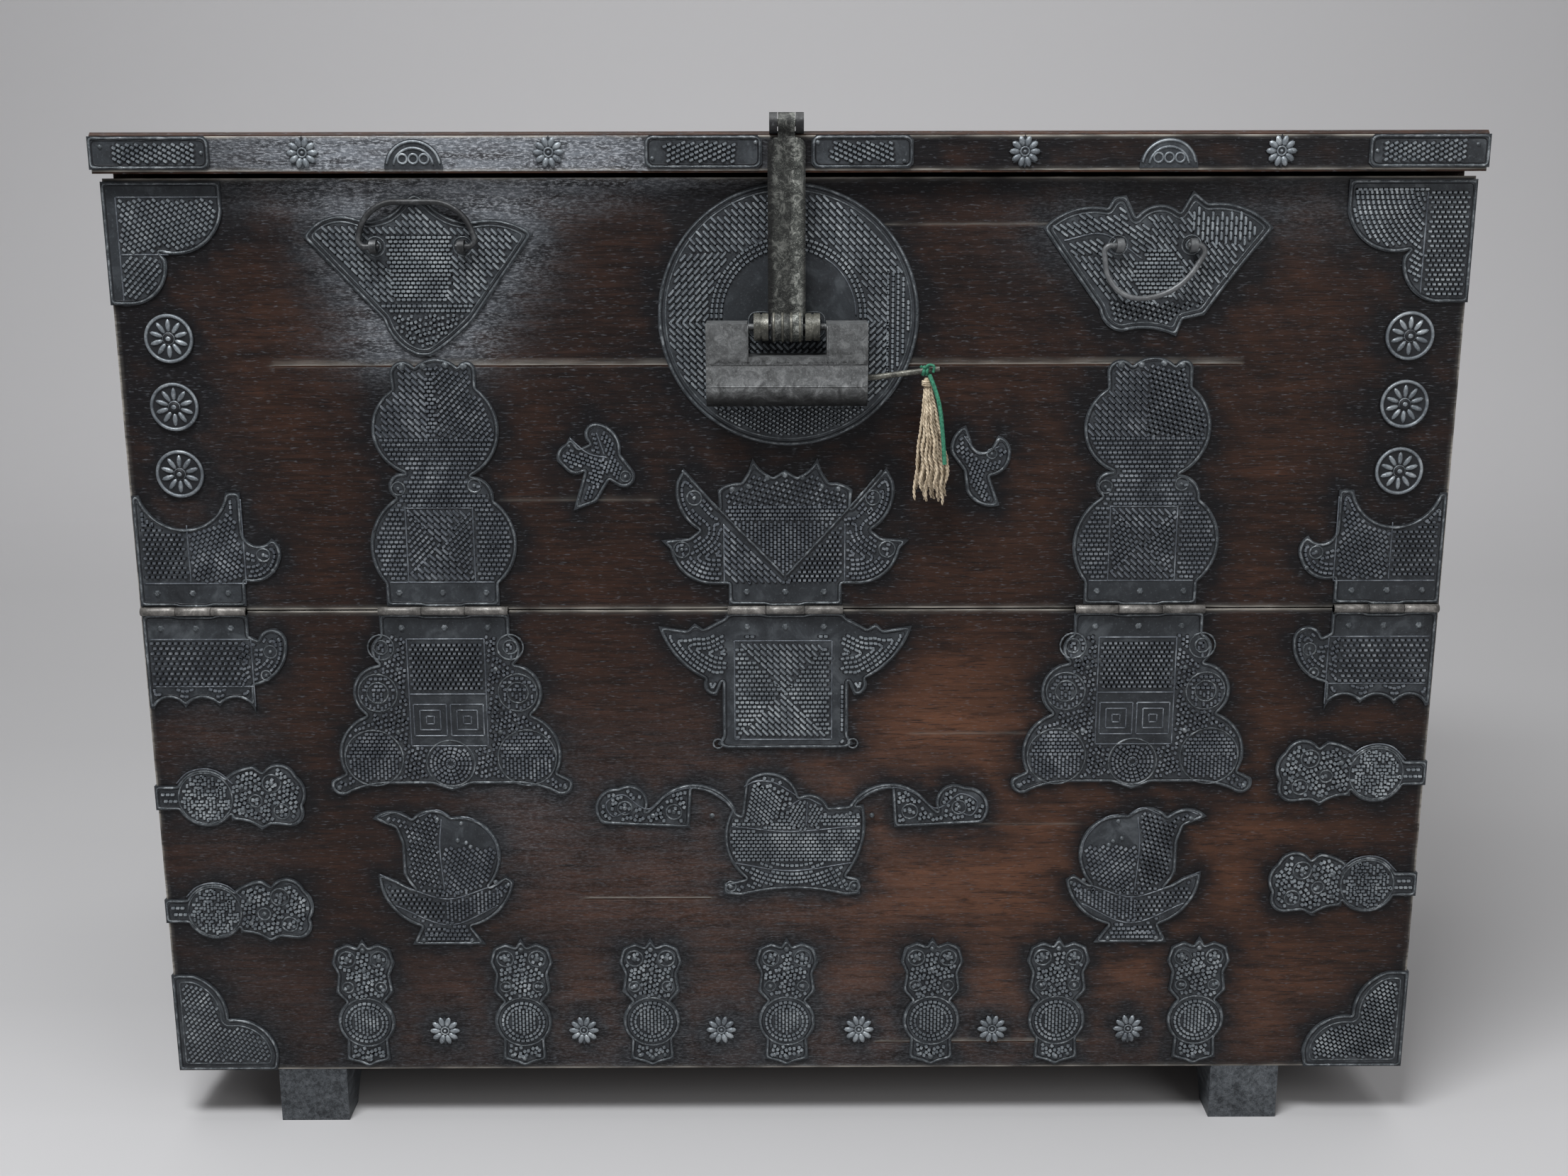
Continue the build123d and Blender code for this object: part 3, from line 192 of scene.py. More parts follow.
def wood(name, grain, dark, mid, warm, rough=0.4):
    """Old varnished board; grain is how much the place is stretched along each axis."""
    s = Shader(name)
    along = s.stretched(*grain)

    def shorter(share):
        """The place stretched less than the grain."""
        return s.stretched(*(share + (1 - share) * g for g in grain))

    def layer(fac, low, high, colour, share=None):
        """Colour laid on the base where fac passes from the low stop to the high one."""
        cover = s.ramp(fac, low, high)
        return s.mix(cover if share is None else s.math("MULTIPLY", share, cover), base, colour)
    fine = s.noise(along, 330.0, 6.0, 0.65, 0.4)
    broad = s.noise(along, 34.0, 5.0, 0.6, 1.4)
    cloud = s.noise(s.place, 7.0, 4.0, 0.55)
    pores = s.noise(along, 1100.0, 2.0, 0.5)
    scratches = s.noise(shorter(0.15), 900.0, 3.0, 0.6)
    powder = s.noise(shorter(0.25), 900.0, 4.0, 0.75)
    streaks = s.noise(shorter(0.12), 150.0, 5.0, 0.7, 0.6)
    painted_sheen = s.attribute("painted_sheen")
    base = s.ramp(broad, (0.28, dark), (0.5, mid), (0.78, warm))
    base = layer(cloud, (0.42, 0.65), (0.6, 0.0), dark)
    base = s.mix(s.attribute("warm"), base, s.ramp(broad, (0.25, mid), (0.6, AMBER)))
    base = s.mix(0.42, base, s.ramp(fine, (0.36, dark), (0.66, warm)))
    base = layer(streaks, (0.34, 0.65), (0.48, 0.0), dark)
    base = layer(pores, (0.3, 0.7), (0.42, 0.0), SOOT_AND_SHADE)
    # darkening share: soot stain round the iron, painted shadow at the iron's edges, and darker towards the
    # top and along the face's edges
    base = s.mix(s.attribute("darkening"), base, SOOT_AND_SHADE)
    # painted sheen: bluish streaks and light powder where the sheen share is high
    base = layer(streaks, (0.40, 0.20), (0.58, 0.95), DUST_AND_SHEEN, painted_sheen)
    base = layer(powder, (0.48, 0.0), (0.63, 0.9), SHEEN, painted_sheen)
    base = layer(fine, (0.34, 0.35), (0.52, 1.0), BARE, s.attribute("wear"))
    base = layer(scratches, (0.58, 0.0), (0.74, 0.42), DUST_AND_SHEEN)
    # painted glints: scattered specks in the sheen colour
    base = layer(powder, (0.725, 0.0), (0.76, 0.6), SHEEN)
    s.bump(s.math("ADD", s.math("MULTIPLY", fine, 0.7), pores), 0.4, 0.0006)
    return s.finish(base, s.ramp(fine, (0.3, rough - 0.1), (0.7, rough + 0.14)), 0.0, 0.16)


def iron(name, dark, mid, light, rough=0.5, scale=60.0, metallic=0.35):
    """Hammered sheet or bar iron with worn and rusty mottling."""
    s = Shader(name)
    mottle = s.noise(s.place, scale, 6.0, 0.65, 0.5)
    speck = s.noise(s.place, scale * 9, 3.0, 0.6)
    broad = s.noise(s.place, scale * 0.2, 2.0, 0.5)
    base = s.ramp(mottle, (0.3, dark), (0.52, mid), (0.75, light))
    base = s.mix(s.ramp(broad, (0.4, 0.45), (0.6, 0.0)), base, dark)
    base = s.mix(s.ramp(speck, (0.58, 0.0), (0.75, 0.6)), base, light)
    s.bump(s.math("ADD", mottle, s.math("MULTIPLY", speck, 0.5)), 0.5, 0.0007)
    return s.finish(base, s.ramp(mottle, (0.3, rough + 0.15), (0.7, rough - 0.1)), metallic, 0.5)


def shaded_iron(name, axis, shares, dark, mid, light, rough, scale):
    """Bar iron with painted highlight and shade in bands along one axis; shares are (place in metres, share
    of the colour).
    """
    s = Shader(name)
    mottle = s.noise(s.place, scale, 7.0, 0.72, 0.8)
    speck = s.noise(s.place, scale * 7, 3.0, 0.65)
    base = s.ramp(mottle, (0.32, dark), (0.5, mid), (0.70, light))
    base = s.mix(s.ramp(speck, (0.56, 0.0), (0.72, 0.7)), base, light)
    base = s.mix(s.ramp(speck, (0.28, 0.7), (0.42, 0.0)), base, dark)
    low, high = shares[0][0], shares[-1][0]
    uneven = s.math("MULTIPLY", s.math("SUBTRACT", mottle, 0.5), 0.22)
    place = s.math("ADD", s.math("DIVIDE", s.math("SUBTRACT", s.axis(axis), low), high - low), uneven)
    # painted highlight and shade: the colour scaled in bands along the axis
    painted_light = s.ramp(place, *(((at - low) / (high - low), share) for at, share in shares))
    base = s.mix(1.0, base, painted_light, "MULTIPLY")
    s.bump(s.math("ADD", mottle, s.math("MULTIPLY", speck, 0.5)), 0.6, 0.0008)
    return s.finish(base, s.ramp(mottle, (0.3, rough + 0.15), (0.7, rough - 0.05)), 0.3, 0.4)


def thread(name, dark, light, scale):
    s = Shader(name)
    fibre = s.noise(s.place, scale, 4.0, 0.6)
    s.bump(fibre, 0.6, 0.0004)
    return s.finish(s.ramp(fibre, (0.3, dark), (0.7, light)), 0.85, 0.0, 0.2)


WOOD_DARK, WOOD_MID, WOOD_WARM = (0.013, 0.0080, 0.0062), (0.033, 0.0170, 0.0112), (0.072, 0.030, 0.0170)
WOOD = wood("front_wood", (0.07, 1, 1), WOOD_DARK, WOOD_MID, WOOD_WARM)
SIDE_WOOD = wood("side_wood", (1, 0.07, 1), WOOD_DARK, WOOD_MID, WOOD_WARM, 0.5)
BACK_WOOD = wood("back_wood", (0.07, 1, 1), (0.05, 0.032, 0.022), (0.10, 0.065, 0.042),
                 (0.16, 0.105, 0.068), 0.7)
FOOT_WOOD = wood("foot_wood", (1, 0.08, 1), (0.022, 0.024, 0.027), (0.066, 0.074, 0.082),
                 (0.19, 0.205, 0.22), 0.45)
IRON = iron("sheet_iron", (0.012, 0.014, 0.017), (0.032, 0.037, 0.043), (0.10, 0.112, 0.122))
WORN = iron("worn_iron", (0.022, 0.026, 0.030), (0.095, 0.108, 0.118), (0.42, 0.45, 0.47), 0.42, 170.0)
# Punched marks are lighter than the sheet: worn raised iron, and lighter also as painted highlight on the
# marks' edges. The bright copy is lighter still; on the top board's plates it is painted sheen.
PUNCHED = iron("punched_iron", (0.040, 0.046, 0.056), (0.125, 0.140, 0.160), (0.40, 0.43, 0.46), 0.42, 75.0)
BRIGHT = iron("bright_punched_iron", (0.070, 0.080, 0.092), (0.21, 0.235, 0.255), (0.52, 0.56, 0.58),
              0.42, 75.0)
# painted shade: near-black iron laid round dashes, along rims and under ridges, and between the rosettes'
# petals
PAINTED_SHADE_IRON = iron("painted_shade_iron", (0.007, 0.008, 0.010), (0.011, 0.012, 0.015), (0.022, 0.025, 0.028), 0.6, 90.0)
# painted light across the hasp: shade on its left edge, a highlight band just right of its middle, darker
# again at its right edge
HASP_PAINTED_LIGHT = ((-0.0145, 0.03), (-0.0118, 0.08), (-0.0098, 0.42), (0.0, 0.34), (0.0030, 1.0), (0.0062, 1.0),
               (0.0095, 0.14))
BAR_IRON = shaded_iron("bar_iron", "X", HASP_PAINTED_LIGHT, (0.010, 0.011, 0.010), (0.060, 0.064, 0.058),
                       (0.46, 0.47, 0.43), 0.45, 190.0)
# Dark and light copies of one bar iron: the dark one paints the left bail and its posts in shade, the light
# one paints the right ones as lit.
DARK_BAR = iron("dark_bar_iron", (0.006, 0.006, 0.007), (0.012, 0.013, 0.014), (0.10, 0.105, 0.11),
                0.5, 60.0, 0.1)
LIGHT_BAR = iron("light_bar_iron", (0.06, 0.062, 0.064), (0.13, 0.135, 0.14), (0.26, 0.27, 0.27), 0.4, 60.0)
EYE_IRON = iron("eye_iron", (0.025, 0.025, 0.021), (0.12, 0.118, 0.098), (0.42, 0.41, 0.36), 0.40, 110.0)
# painted light up the padlock: shade on its rounded underside, a highlight band above it, and a dark line of
# shade under the fold
LOCK_PAINTED_LIGHT = ((0.533, 0.02), (0.540, 0.10), (0.546, 0.48), (0.551, 1.0), (0.558, 0.72), (0.563, 0.80),
               (0.5645, 0.22), (0.566, 0.55), (0.592, 0.72))
LOCK_IRON = shaded_iron("lock_iron", "Z", LOCK_PAINTED_LIGHT, (0.070, 0.072, 0.072), (0.155, 0.160, 0.162),
                        (0.33, 0.34, 0.34), 0.45, 120.0)
PALE_IRON = iron("pale_iron", (0.050, 0.047, 0.043), (0.17, 0.160, 0.148), (0.46, 0.44, 0.41), 0.45, 110.0)
GREEN = thread("green_cord", (0.012, 0.085, 0.050), (0.07, 0.27, 0.17), 700.0)
CREAM = thread("cream_thread", (0.26, 0.20, 0.13), (0.72, 0.61, 0.46), 260.0)


# ---- meshes ----
class Mesh:
    """Vertices and faces gathered in millimetres, made into one object in metres."""

    def __init__(self):
        self.points = []
        self.faces = []
        self.count = 0

    def add(self, points, faces):
        self.points.append(np.asarray(points, float))
        self.faces += [tuple(i + self.count for i in face) for face in faces]
        self.count += len(points)

    def make(self, name, body, material, slot="sheet_iron", smooth=True):
        data = bpy.data.meshes.new(name)
        data.from_pydata((np.concatenate(self.points) * MM).tolist(), [], self.faces)
        data.polygons.foreach_set("use_smooth", [smooth] * len(data.polygons))
        data.materials.append(material)
        made = add_object(name, data)
        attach(made, body)
        return made


def spline(points, step=1.5):
    """Smooth open line through a few points."""
    p = np.asarray(points, float)
    ends = np.vstack([2 * p[0] - p[1], p, 2 * p[-1] - p[-2]])
    parts = []
    for i in range(len(p) - 1):
        a, b, c, d = ends[i:i + 4]
        count = max(int(np.linalg.norm(c - b) / step), 1)
        t = (np.arange(count) / count)[:, None]
        parts.append(0.5 * (2 * b + (c - a) * t + (2 * a - 5 * b + 4 * c - d) * t ** 2
                            + (3 * b - a - 3 * c + d) * t ** 3))
    return np.vstack(parts + [p[-1:]])


def circle(x, z, r, step=1.5):
    count = max(int(2 * math.pi * r / step), 10)
    turn = np.arange(count) * 2 * math.pi / count
    return np.stack([x + r * np.cos(turn), z + r * np.sin(turn)], 1)


def tube(mesh, line, radius, sides=6, closed=True, taper=None):
    """Round wire along a 3-D line."""
    line = np.asarray(line, float)
    ahead = np.roll(line, -1, 0) - np.roll(line, 1, 0)
    if not closed:
        ahead[0] = line[1] - line[0]
        ahead[-1] = line[-1] - line[-2]
    ahead /= np.linalg.norm(ahead, axis=1)[:, None] + 1e-12
    side = np.cross(ahead, (0.0, 1.0, 0.0))
    weak = np.linalg.norm(side, axis=1) < 0.2
    side[weak] = np.cross(ahead[weak], (1.0, 0.0, 0.0))
    side /= np.linalg.norm(side, axis=1)[:, None]
    up = np.cross(side, ahead)
    radii = np.full(len(line), radius) if taper is None else radius * np.asarray(taper)
    turn = np.arange(sides) * 2 * math.pi / sides
    ring = side[:, None] * np.cos(turn)[None, :, None] + up[:, None] * np.sin(turn)[None, :, None]
    points = (line[:, None] + ring * radii[:, None, None]).reshape(-1, 3)
    number = np.arange(len(points)).reshape(-1, sides)
    ends = [] if closed else [number[0].tolist(), number[-1, ::-1].tolist()]
    onward = np.roll(number, -1, 0)
    if not closed:
        number, onward = number[:-1], onward[:-1]
    walls = np.stack([number, onward, np.roll(onward, -1, 1), np.roll(number, -1, 1)], -1)
    mesh.add(points, walls.reshape(-1, 4).tolist() + ends)


def on_face(line, y):
    """3-D line of (x, z) points at one depth."""
    return np.stack([line[:, 0], np.full(len(line), y), line[:, 1]], 1)


DOME_RING = np.array([(1, 0), (0.7, 0.62), (0, 0.9), (-0.7, 0.62), (-1, 0), (-0.7, -0.62), (0, -0.9),
                      (0.7, -0.62)])
DASH_RING = np.array([(1, 0), (0.8, 0.5), (-0.8, 0.5), (-1, 0), (-0.8, -0.5), (0.8, -0.5)])
DASH_STEPS = ((1.0, -0.1), (0.80, 1.0))
DOME_STEPS = ((1.0, -0.1), (0.82, 0.55), (0.45, 1.0))
GAP_STEPS = ((1.0, -0.2), (0.97, 1.0))


def punched(mesh, xz, angle, length, width, height, y, ring=DASH_RING, steps=DASH_STEPS):
    """Low raised spots on a sheet whose outer face is at y, each long along its own angle."""
    xz = np.asarray(xz, float).reshape(-1, 2)
    if not len(xz):
        return
    cos = np.cos(np.broadcast_to(angle, len(xz)))[:, None]
    sin = np.sin(np.broadcast_to(angle, len(xz)))[:, None]
    rings = []
    for share, out in steps:
        u = ring[:, 0] * length / 2 * share
        w = ring[:, 1] * width * share
        x = xz[:, :1] + u * cos - w * sin
        z = xz[:, 1:] + u * sin + w * cos
        rings.append(np.stack([x, np.full(x.shape, y - out * height), z], -1))
    faces = []
    points = np.concatenate(rings, 1).reshape(-1, 3)
    number = np.arange(len(points)).reshape(len(xz), len(steps), len(ring))
    ahead = np.roll(number, -1, 2)
    for spot, onward in zip(number, ahead):
        walls = np.stack([spot[:-1], onward[:-1], onward[1:], spot[1:]], -1)
        faces += walls.reshape(-1, 4).tolist()
        faces.append(spot[-1].tolist())
    mesh.add(points, faces)


# ---- outlines of the frame's plates ----
def front_loops(node):
    """Closed outlines (x, z) of a plate's outer face, and that face's y."""
    data = NODES[node].data
    corners = np.array([v.co for v in data.vertices]) / MM
    faces = [(p, round(corners[p.vertices[0]][1], 1)) for p in data.polygons if p.normal[1] < -0.99]
    area = {}
    for p, y in faces:
        area[y] = area.get(y, 0) + p.area
    outer = max(area, key=area.get)
    used = {}
    for p, y in faces:
        if y != outer:
            continue
        keys = [tuple(np.round(corners[v][[0, 2]], 2)) for v in p.vertices]
        for a, b in zip(keys, keys[1:] + keys[:1]):
            if (b, a) in used:
                del used[(b, a)]
            else:
                used[(a, b)] = True
    following = dict(used.keys())
    loops = []
    while following:
        start = at = next(iter(following))
        loop = []
        while at in following:
            loop.append(at)
            at = following.pop(at)
        if at == start and len(loop) > 2:
            loops.append(np.array(loop))
    return loops, outer


GRID = 0.8                                # spacing of the grid that outlines are measured on
MARGIN = 3.0


class Field:
    """Signed distance to an ornament's outline, negative inside it, on a grid over the ornament."""

    def __init__(self, loops, place):
        self.place = place
        every = np.concatenate(loops)
        self.low = every.min(0) - MARGIN
        size = np.ceil((every.max(0) + MARGIN - self.low) / GRID).astype(int)
        self.high = self.low + GRID * size
        xs = self.low[0] + GRID * np.arange(size[0])
        zs = self.low[1] + GRID * np.arange(size[1])
        grid = np.stack(np.meshgrid(xs, zs, indexing="ij"), -1).reshape(-1, 2)
        near = np.full(len(grid), 1e9)
        inside = np.zeros(len(grid), bool)
        for loop in loops:
            for p, q in zip(loop, np.roll(loop, -1, 0)):
                d = q - p
                t = np.clip(((grid - p) @ d) / (d @ d), 0, 1)
                near = np.minimum(near, np.hypot(*(grid - p - t[:, None] * d).T))
                crosses = (p[1] > grid[:, 1]) != (q[1] > grid[:, 1])
                if d[1]:
                    inside ^= crosses & (grid[:, 0] < p[0] + (grid[:, 1] - p[1]) * d[0] / d[1])
        self.value = np.where(inside, -near, near).reshape(size)

    def at(self, xz):
        """Field at points, by bilinear interpolation; far outside it is large."""
        place = (xz - self.low) / GRID
        cell = np.floor(place).astype(int)
        good = (cell >= 0).all(1) & (cell < np.array(self.value.shape) - 1).all(1)
        result = np.full(len(xz), 99.0)
        i, j = cell[good].T
        u, w = (place[good] - cell[good]).T
        v = self.value
        result[good] = ((v[i, j] * (1 - u) + v[i + 1, j] * u) * (1 - w)
                        + (v[i, j + 1] * (1 - u) + v[i + 1, j + 1] * u) * w)
        return result

    def lines(self, level):
        """Closed lines on which the field has this level."""
        v = self.value - level
        v = np.where(v == 0, 1e-9, v)
        points = {}
        for di, dj in ((1, 0), (0, 1)):
            a = v[:v.shape[0] - di, :v.shape[1] - dj]
            b = v[di:, dj:]
            for i, j in zip(*np.nonzero((a < 0) != (b < 0))):
                t = a[i, j] / (a[i, j] - b[i, j])
                points[(i, j, di)] = self.low + GRID * np.array((i + t * di, j + t * dj))
        links = {key: [] for key in points}
        cells = {(i - k * (di == 0), j - k * (di == 1)) for i, j, di in points for k in (0, 1)}
        for i, j in sorted(cells):
            ring = [k for k in ((i, j, 1), (i + 1, j, 0), (i, j + 1, 1), (i, j, 0)) if k in points]
            for a, b in zip(ring[::2], ring[1::2]):
                links[a].append(b)
                links[b].append(a)
        lines = []
        while links:
            at = next(iter(links))
            line = []
            while at in links:
                line.append(points[at])
                ahead = [k for k in links.pop(at) if k in links]
                at = ahead[0] if ahead else None
            if len(line) > 8:
                lines.append(np.array(line))
        return lines


def islands(loops):
    """Loops gathered into separate plates, each with its own holes."""
    loops = sorted(loops, key=lambda loop: -np.ptp(loop, 0).prod())
    groups = []
    for loop in loops:
        home = None
        for group in groups:
            low, high = group[0].min(0), group[0].max(0)
            if (loop.min(0) > low).all() and (loop.max(0) < high).all():
                home = group
        if home:
            home.append(loop)
        else:
            groups.append([loop])
    return groups


def even(line, step):
    """The closed line with evenly spaced points, softened a little."""
    line = np.vstack([line, line[:1]])
    run = np.concatenate([[0], np.cumsum(np.linalg.norm(np.diff(line, axis=0), axis=1))])
    at = np.linspace(0, run[-1], max(int(run[-1] / step), 4), endpoint=False)
    line = np.stack([np.interp(at, run, line[:, k]) for k in range(2)], 1)
    return (np.roll(line, 1, 0) + 2 * line + np.roll(line, -1, 0)) / 4


# ---- masks: where on a plate a pattern goes; they and the lines below are in the ornament's own frame ----
def everywhere(x, z):
    return np.ones(len(x), bool)


def within(x0, x1, z0, z1):
    return lambda x, z: (x > x0) & (x < x1) & (z > z0) & (z < z1)


def in_disc(cx, cz, r):
    return lambda x, z: (x - cx) ** 2 + (z - cz) ** 2 < r * r


def above_and_below(cx, cz, half_x, half_z):
    """The upper and lower quarter of a box cut by its diagonals."""
    inside = within(cx - half_x, cx + half_x, cz - half_z, cz + half_z)
    return lambda x, z: inside(x, z) & (abs(z - cz) / half_z > abs(x - cx) / half_x)


def both(one, other):
    return lambda x, z: one(x, z) & other(x, z)


def upright(x, z0, z1):
    return (x, z0), (x, z1)


def level(x0, x1, z):
    return (x0, z), (x1, z)


def frame_lines(half, z0, z1):
    """Four lines round a panel."""
    return [upright(-half, z0, z1), upright(half, z0, z1), level(-half, half, z0), level(-half, half, z1)]


def twins(*spots):
    """Each (x, z, radius) with its mirror image before it."""
    return [(side * x, z, r) for x, z, r in spots for side in (-1, 1)]


def small(rings, r):
    """Beads in the middle of rings."""
    return [(x, z, r) for x, z, _ in rings]


# ---- patterns: each gives the places and angles of its spots, and their length and width ----
ALONG, ACROSS = 3.4, 3.2                  # pitch of the dashes in a row, and of the rows
DASH_LONG, DASH_WIDE = 3.2, 1.75
DASH_HEIGHT = 1.0
GAP_MORE = 1.2                            # painted shade: dark sheet laid round each dash


def lattice(field, angle, along, across):
    centre = (field.low + field.high) / 2
    reach = np.linalg.norm(field.high - field.low) / 2
    u = np.arange(-reach, reach, along)
    w = np.arange(-reach, reach, across)
    uu, ww = np.meshgrid(u, w, indexing="ij")
    uu = uu + (np.arange(len(w)) % 2) * along / 2
    cos, sin = math.cos(angle), math.sin(angle)
    return np.stack([centre[0] + uu * cos - ww * sin, centre[1] + uu * sin + ww * cos], -1).reshape(-1, 2)


def ruled(degrees, across=ACROSS, along=ALONG, length=DASH_LONG, width=DASH_WIDE):
    """Rows of dashes."""
    def make(field):
        angle = math.radians(degrees)
        xz = lattice(field, angle, along, across)
        return xz, np.full(len(xz), angle), length, width
    return make


def lined(degrees, across=3.1):
    """Rows of long chisel strokes, nearly joined."""
    return ruled(degrees, across, 6.4, 6.6, 1.65)


def dotted(pitch=3.7, degrees=45.0, size=2.6):
    return ruled(degrees, pitch * 0.87, pitch, size, size * 0.62)


def scattered(pitch=3.8, size=3.2):
    """Uneven round spots, for scroll work."""
    def make(field):
        xz = lattice(field, 0.3, pitch, pitch)
        xz = xz + CHANCE.uniform(-0.22, 0.22, xz.shape) * pitch
        return xz, CHANCE.uniform(0, math.pi, len(xz)), size, size * 0.9
    return make


def ringed(cx, cz, across=ACROSS):
    """Rows of dashes round a centre."""
    def make(field):
        x, z = field.place((cx, cz))
        xz = np.vstack([circle(x, z, r, ALONG) for r in np.arange(across, 90, across)])
        return xz, np.arctan2(xz[:, 1] - z, xz[:, 0] - x) + math.pi / 2, DASH_LONG, DASH_WIDE
    return make


def following(first=4.3, rows=5, across=ACROSS):
    """Rows of dashes that follow the plate's edge."""
    def make(field):
        places, angles = [np.zeros((0, 2))], [np.zeros(0)]
        for i in range(rows):
            for line in field.lines(-first - i * across):
                line = even(line, ALONG)
                ahead = np.roll(line, -1, 0) - np.roll(line, 1, 0)
                places.append(line)
                angles.append(np.arctan2(ahead[:, 1], ahead[:, 0]))
        return np.vstack(places), np.concatenate(angles), DASH_LONG, DASH_WIDE
    return make


def plain(field):
    return np.zeros((0, 2)), np.zeros(0), 1.0, 1.0


RIM_IN = 1.3                              # rim wire inside the sheet's edge
RIM_R = 0.75
GROOVE_IN = 2.7                           # dark line inside the rim, painted shade of a groove
FIELD_IN = 4.2                            # punched field inside the sheet's edge
WIRE_R = 0.5
WIRE_CLEAR = 1.6
HALO_POINTS = []                          # outlines that the darkening gathers round: soot stain, and painted shadow at their edges


def uneven_wire(line):
    """How thick a hand-filed rim is at each point of its line."""
    turn = np.arange(len(line)) * 2 * math.pi / len(line)
    filed = 0.16 * np.sin(9 * turn + 1) + 0.14 * np.sin(23 * turn)
    return 1.0 + filed + CHANCE.uniform(-0.15, 0.15, len(line))


def clear_of(xz, alone):
    """Which points keep clear of wires and rings, given as the points along them."""
    gap = np.full(len(xz), 99.0)
    for part in np.array_split(alone, len(alone) // 60 + 1):
        reach = np.hypot(*(xz[:, None] - part).transpose(2, 0, 1))
        gap = np.minimum(gap, reach.min(1, initial=99.0))
    return gap > WIRE_CLEAR


def dress(node, zones, wires=(), rings=(), beads=(), origin=(0, 0), flip=1, inner_rim=0.0, clear_band=0.0,
          ridges=(), metal=None):
    """Rim, punched fields, wires, ridges, rings and beads of one plate.

    They are measured from origin, with x turned over where flip is -1. Each zone is (mask, pattern); a zone
    takes what earlier zones leave.
    """
    def place(points):
        return np.asarray(points, float) * (flip, 1) + origin
    loops, y = front_loops(node)
    raised, lines, marks, painted_shade = Mesh(), Mesh(), Mesh(), Mesh()
    alone = [np.zeros((0, 2))]
    for points in wires:
        line = spline(place(points))
        tube(lines, on_face(line, y - 0.1), WIRE_R, closed=False)
        alone.append(line)
    for points in ridges:
        line = spline(place(points))
        crest, foot = line + (0.0, 1.0), line - (0.0, 0.7)
        tube(raised, on_face(crest, y - 0.1), RIM_R, closed=False, taper=uneven_wire(line))
        # painted shadow: dark wire under the ridge's crest
        tube(painted_shade, on_face(foot, y + 0.3), 0.8, closed=False)
        alone += [crest, foot]
    for x, z, r in rings:
        line = circle(*place((x, z)), r)
        tube(raised, on_face(line, y - 0.1), RIM_R * 0.8, taper=uneven_wire(line))
        alone.append(line)
    for x, z, r in beads:
        centre = place((x, z))
        punched(raised, centre, 0.0, 2 * r, r * 1.1, r * 0.75, y, DOME_RING, DOME_STEPS)
        alone.append(centre[None])
    alone = np.vstack(alone)
    for group in islands(loops):
        HALO_POINTS.append(even(group[0], 4.0))
        field = Field(group, place)
        for line in field.lines(-RIM_IN):
            line = even(line, 1.6)
            tube(raised, on_face(line, y), RIM_R, taper=uneven_wire(line))
        # painted shade: dark wire along the line inside the rim
        for line in field.lines(-GROOVE_IN):
            tube(painted_shade, on_face(even(line, 2.0), y + 0.25), 0.6, 4)
        if inner_rim:
            for line in field.lines(-inner_rim):
                tube(raised, on_face(even(line, 1.8), y), RIM_R * 0.7)
        earlier = []
        for mask, pattern in zones:
            xz, angle, length, width = pattern(field)
            own = ((xz - origin) * (flip, 1)).T
            keep = (field.at(xz) < -max(FIELD_IN, inner_rim + 1.8)) & (abs(xz[:, 1] - SEAM_Z) >= clear_band)
            keep &= mask(*own)
            for other in earlier:
                keep &= ~other(*own)
            earlier.append(mask)
            xz, angle = xz[keep], angle[keep]
            free = clear_of(xz, alone)
            xz, angle = xz[free], angle[free]
            punched(marks, xz, angle, length, width, DASH_HEIGHT, y - 0.1)
            # painted shade: dark sheet round each dash
            punched(painted_shade, xz, angle, length + 2 * GAP_MORE, width + GAP_MORE / 2, 0.1, y, steps=GAP_STEPS)
    made = ((raised, "rim", WORN, True), (marks, "marks", metal or PUNCHED, False),
            (painted_shade, "painted_shade", PAINTED_SHADE_IRON, False), (lines, "lines", PUNCHED, True))
    for mesh, part, material, smooth in made:
        if mesh.count:
            mesh.make(f"{node}_{part}", BODY_OF[node], material, smooth=smooth)


# ---- key, cord and tassel ----
KNOT_AT = (box_mm("key_knot")[0] + box_mm("key_knot")[1]) / 2
CORD_POINTS = (
    KNOT_AT + (2.6, -3.4, -2.4),
    KNOT_AT + (8.5, -7.0, -16.0),
    KNOT_AT + (11.5, -9.5, -38.0),
    KNOT_AT + (13.0, -11.5, -61.0),
)
CORD_WIDE = 0.0028


def knot():
    """Turns of the green cord round the key's end, and one loose loop."""
    mesh = Mesh()
    turn = np.linspace(0, 2 * math.pi * 2.5, 60)
    coil = np.stack([np.linspace(-2.6, 2.6, 60), 2.5 * np.sin(turn), 2.5 * np.cos(turn)], 1)
    tube(mesh, KNOT_AT + coil, 1.1, 6, closed=False)
    loop = [KNOT_AT + p for p in ((-1, -2.6, 1.5), (2, -3.2, 4.0), (5.5, -3.6, 3.2), (5.0, -3.4, -1.0))]
    tube(mesh, spline(loop, 0.7), 0.9, 6, closed=False)
    made = mesh.make("cord_knot", "key", GREEN, "green_cord")
    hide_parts("key_knot")
    return made


THREADS = 30
GOLDEN_ANGLE = 2.39996                    # radians, spreads the threads evenly


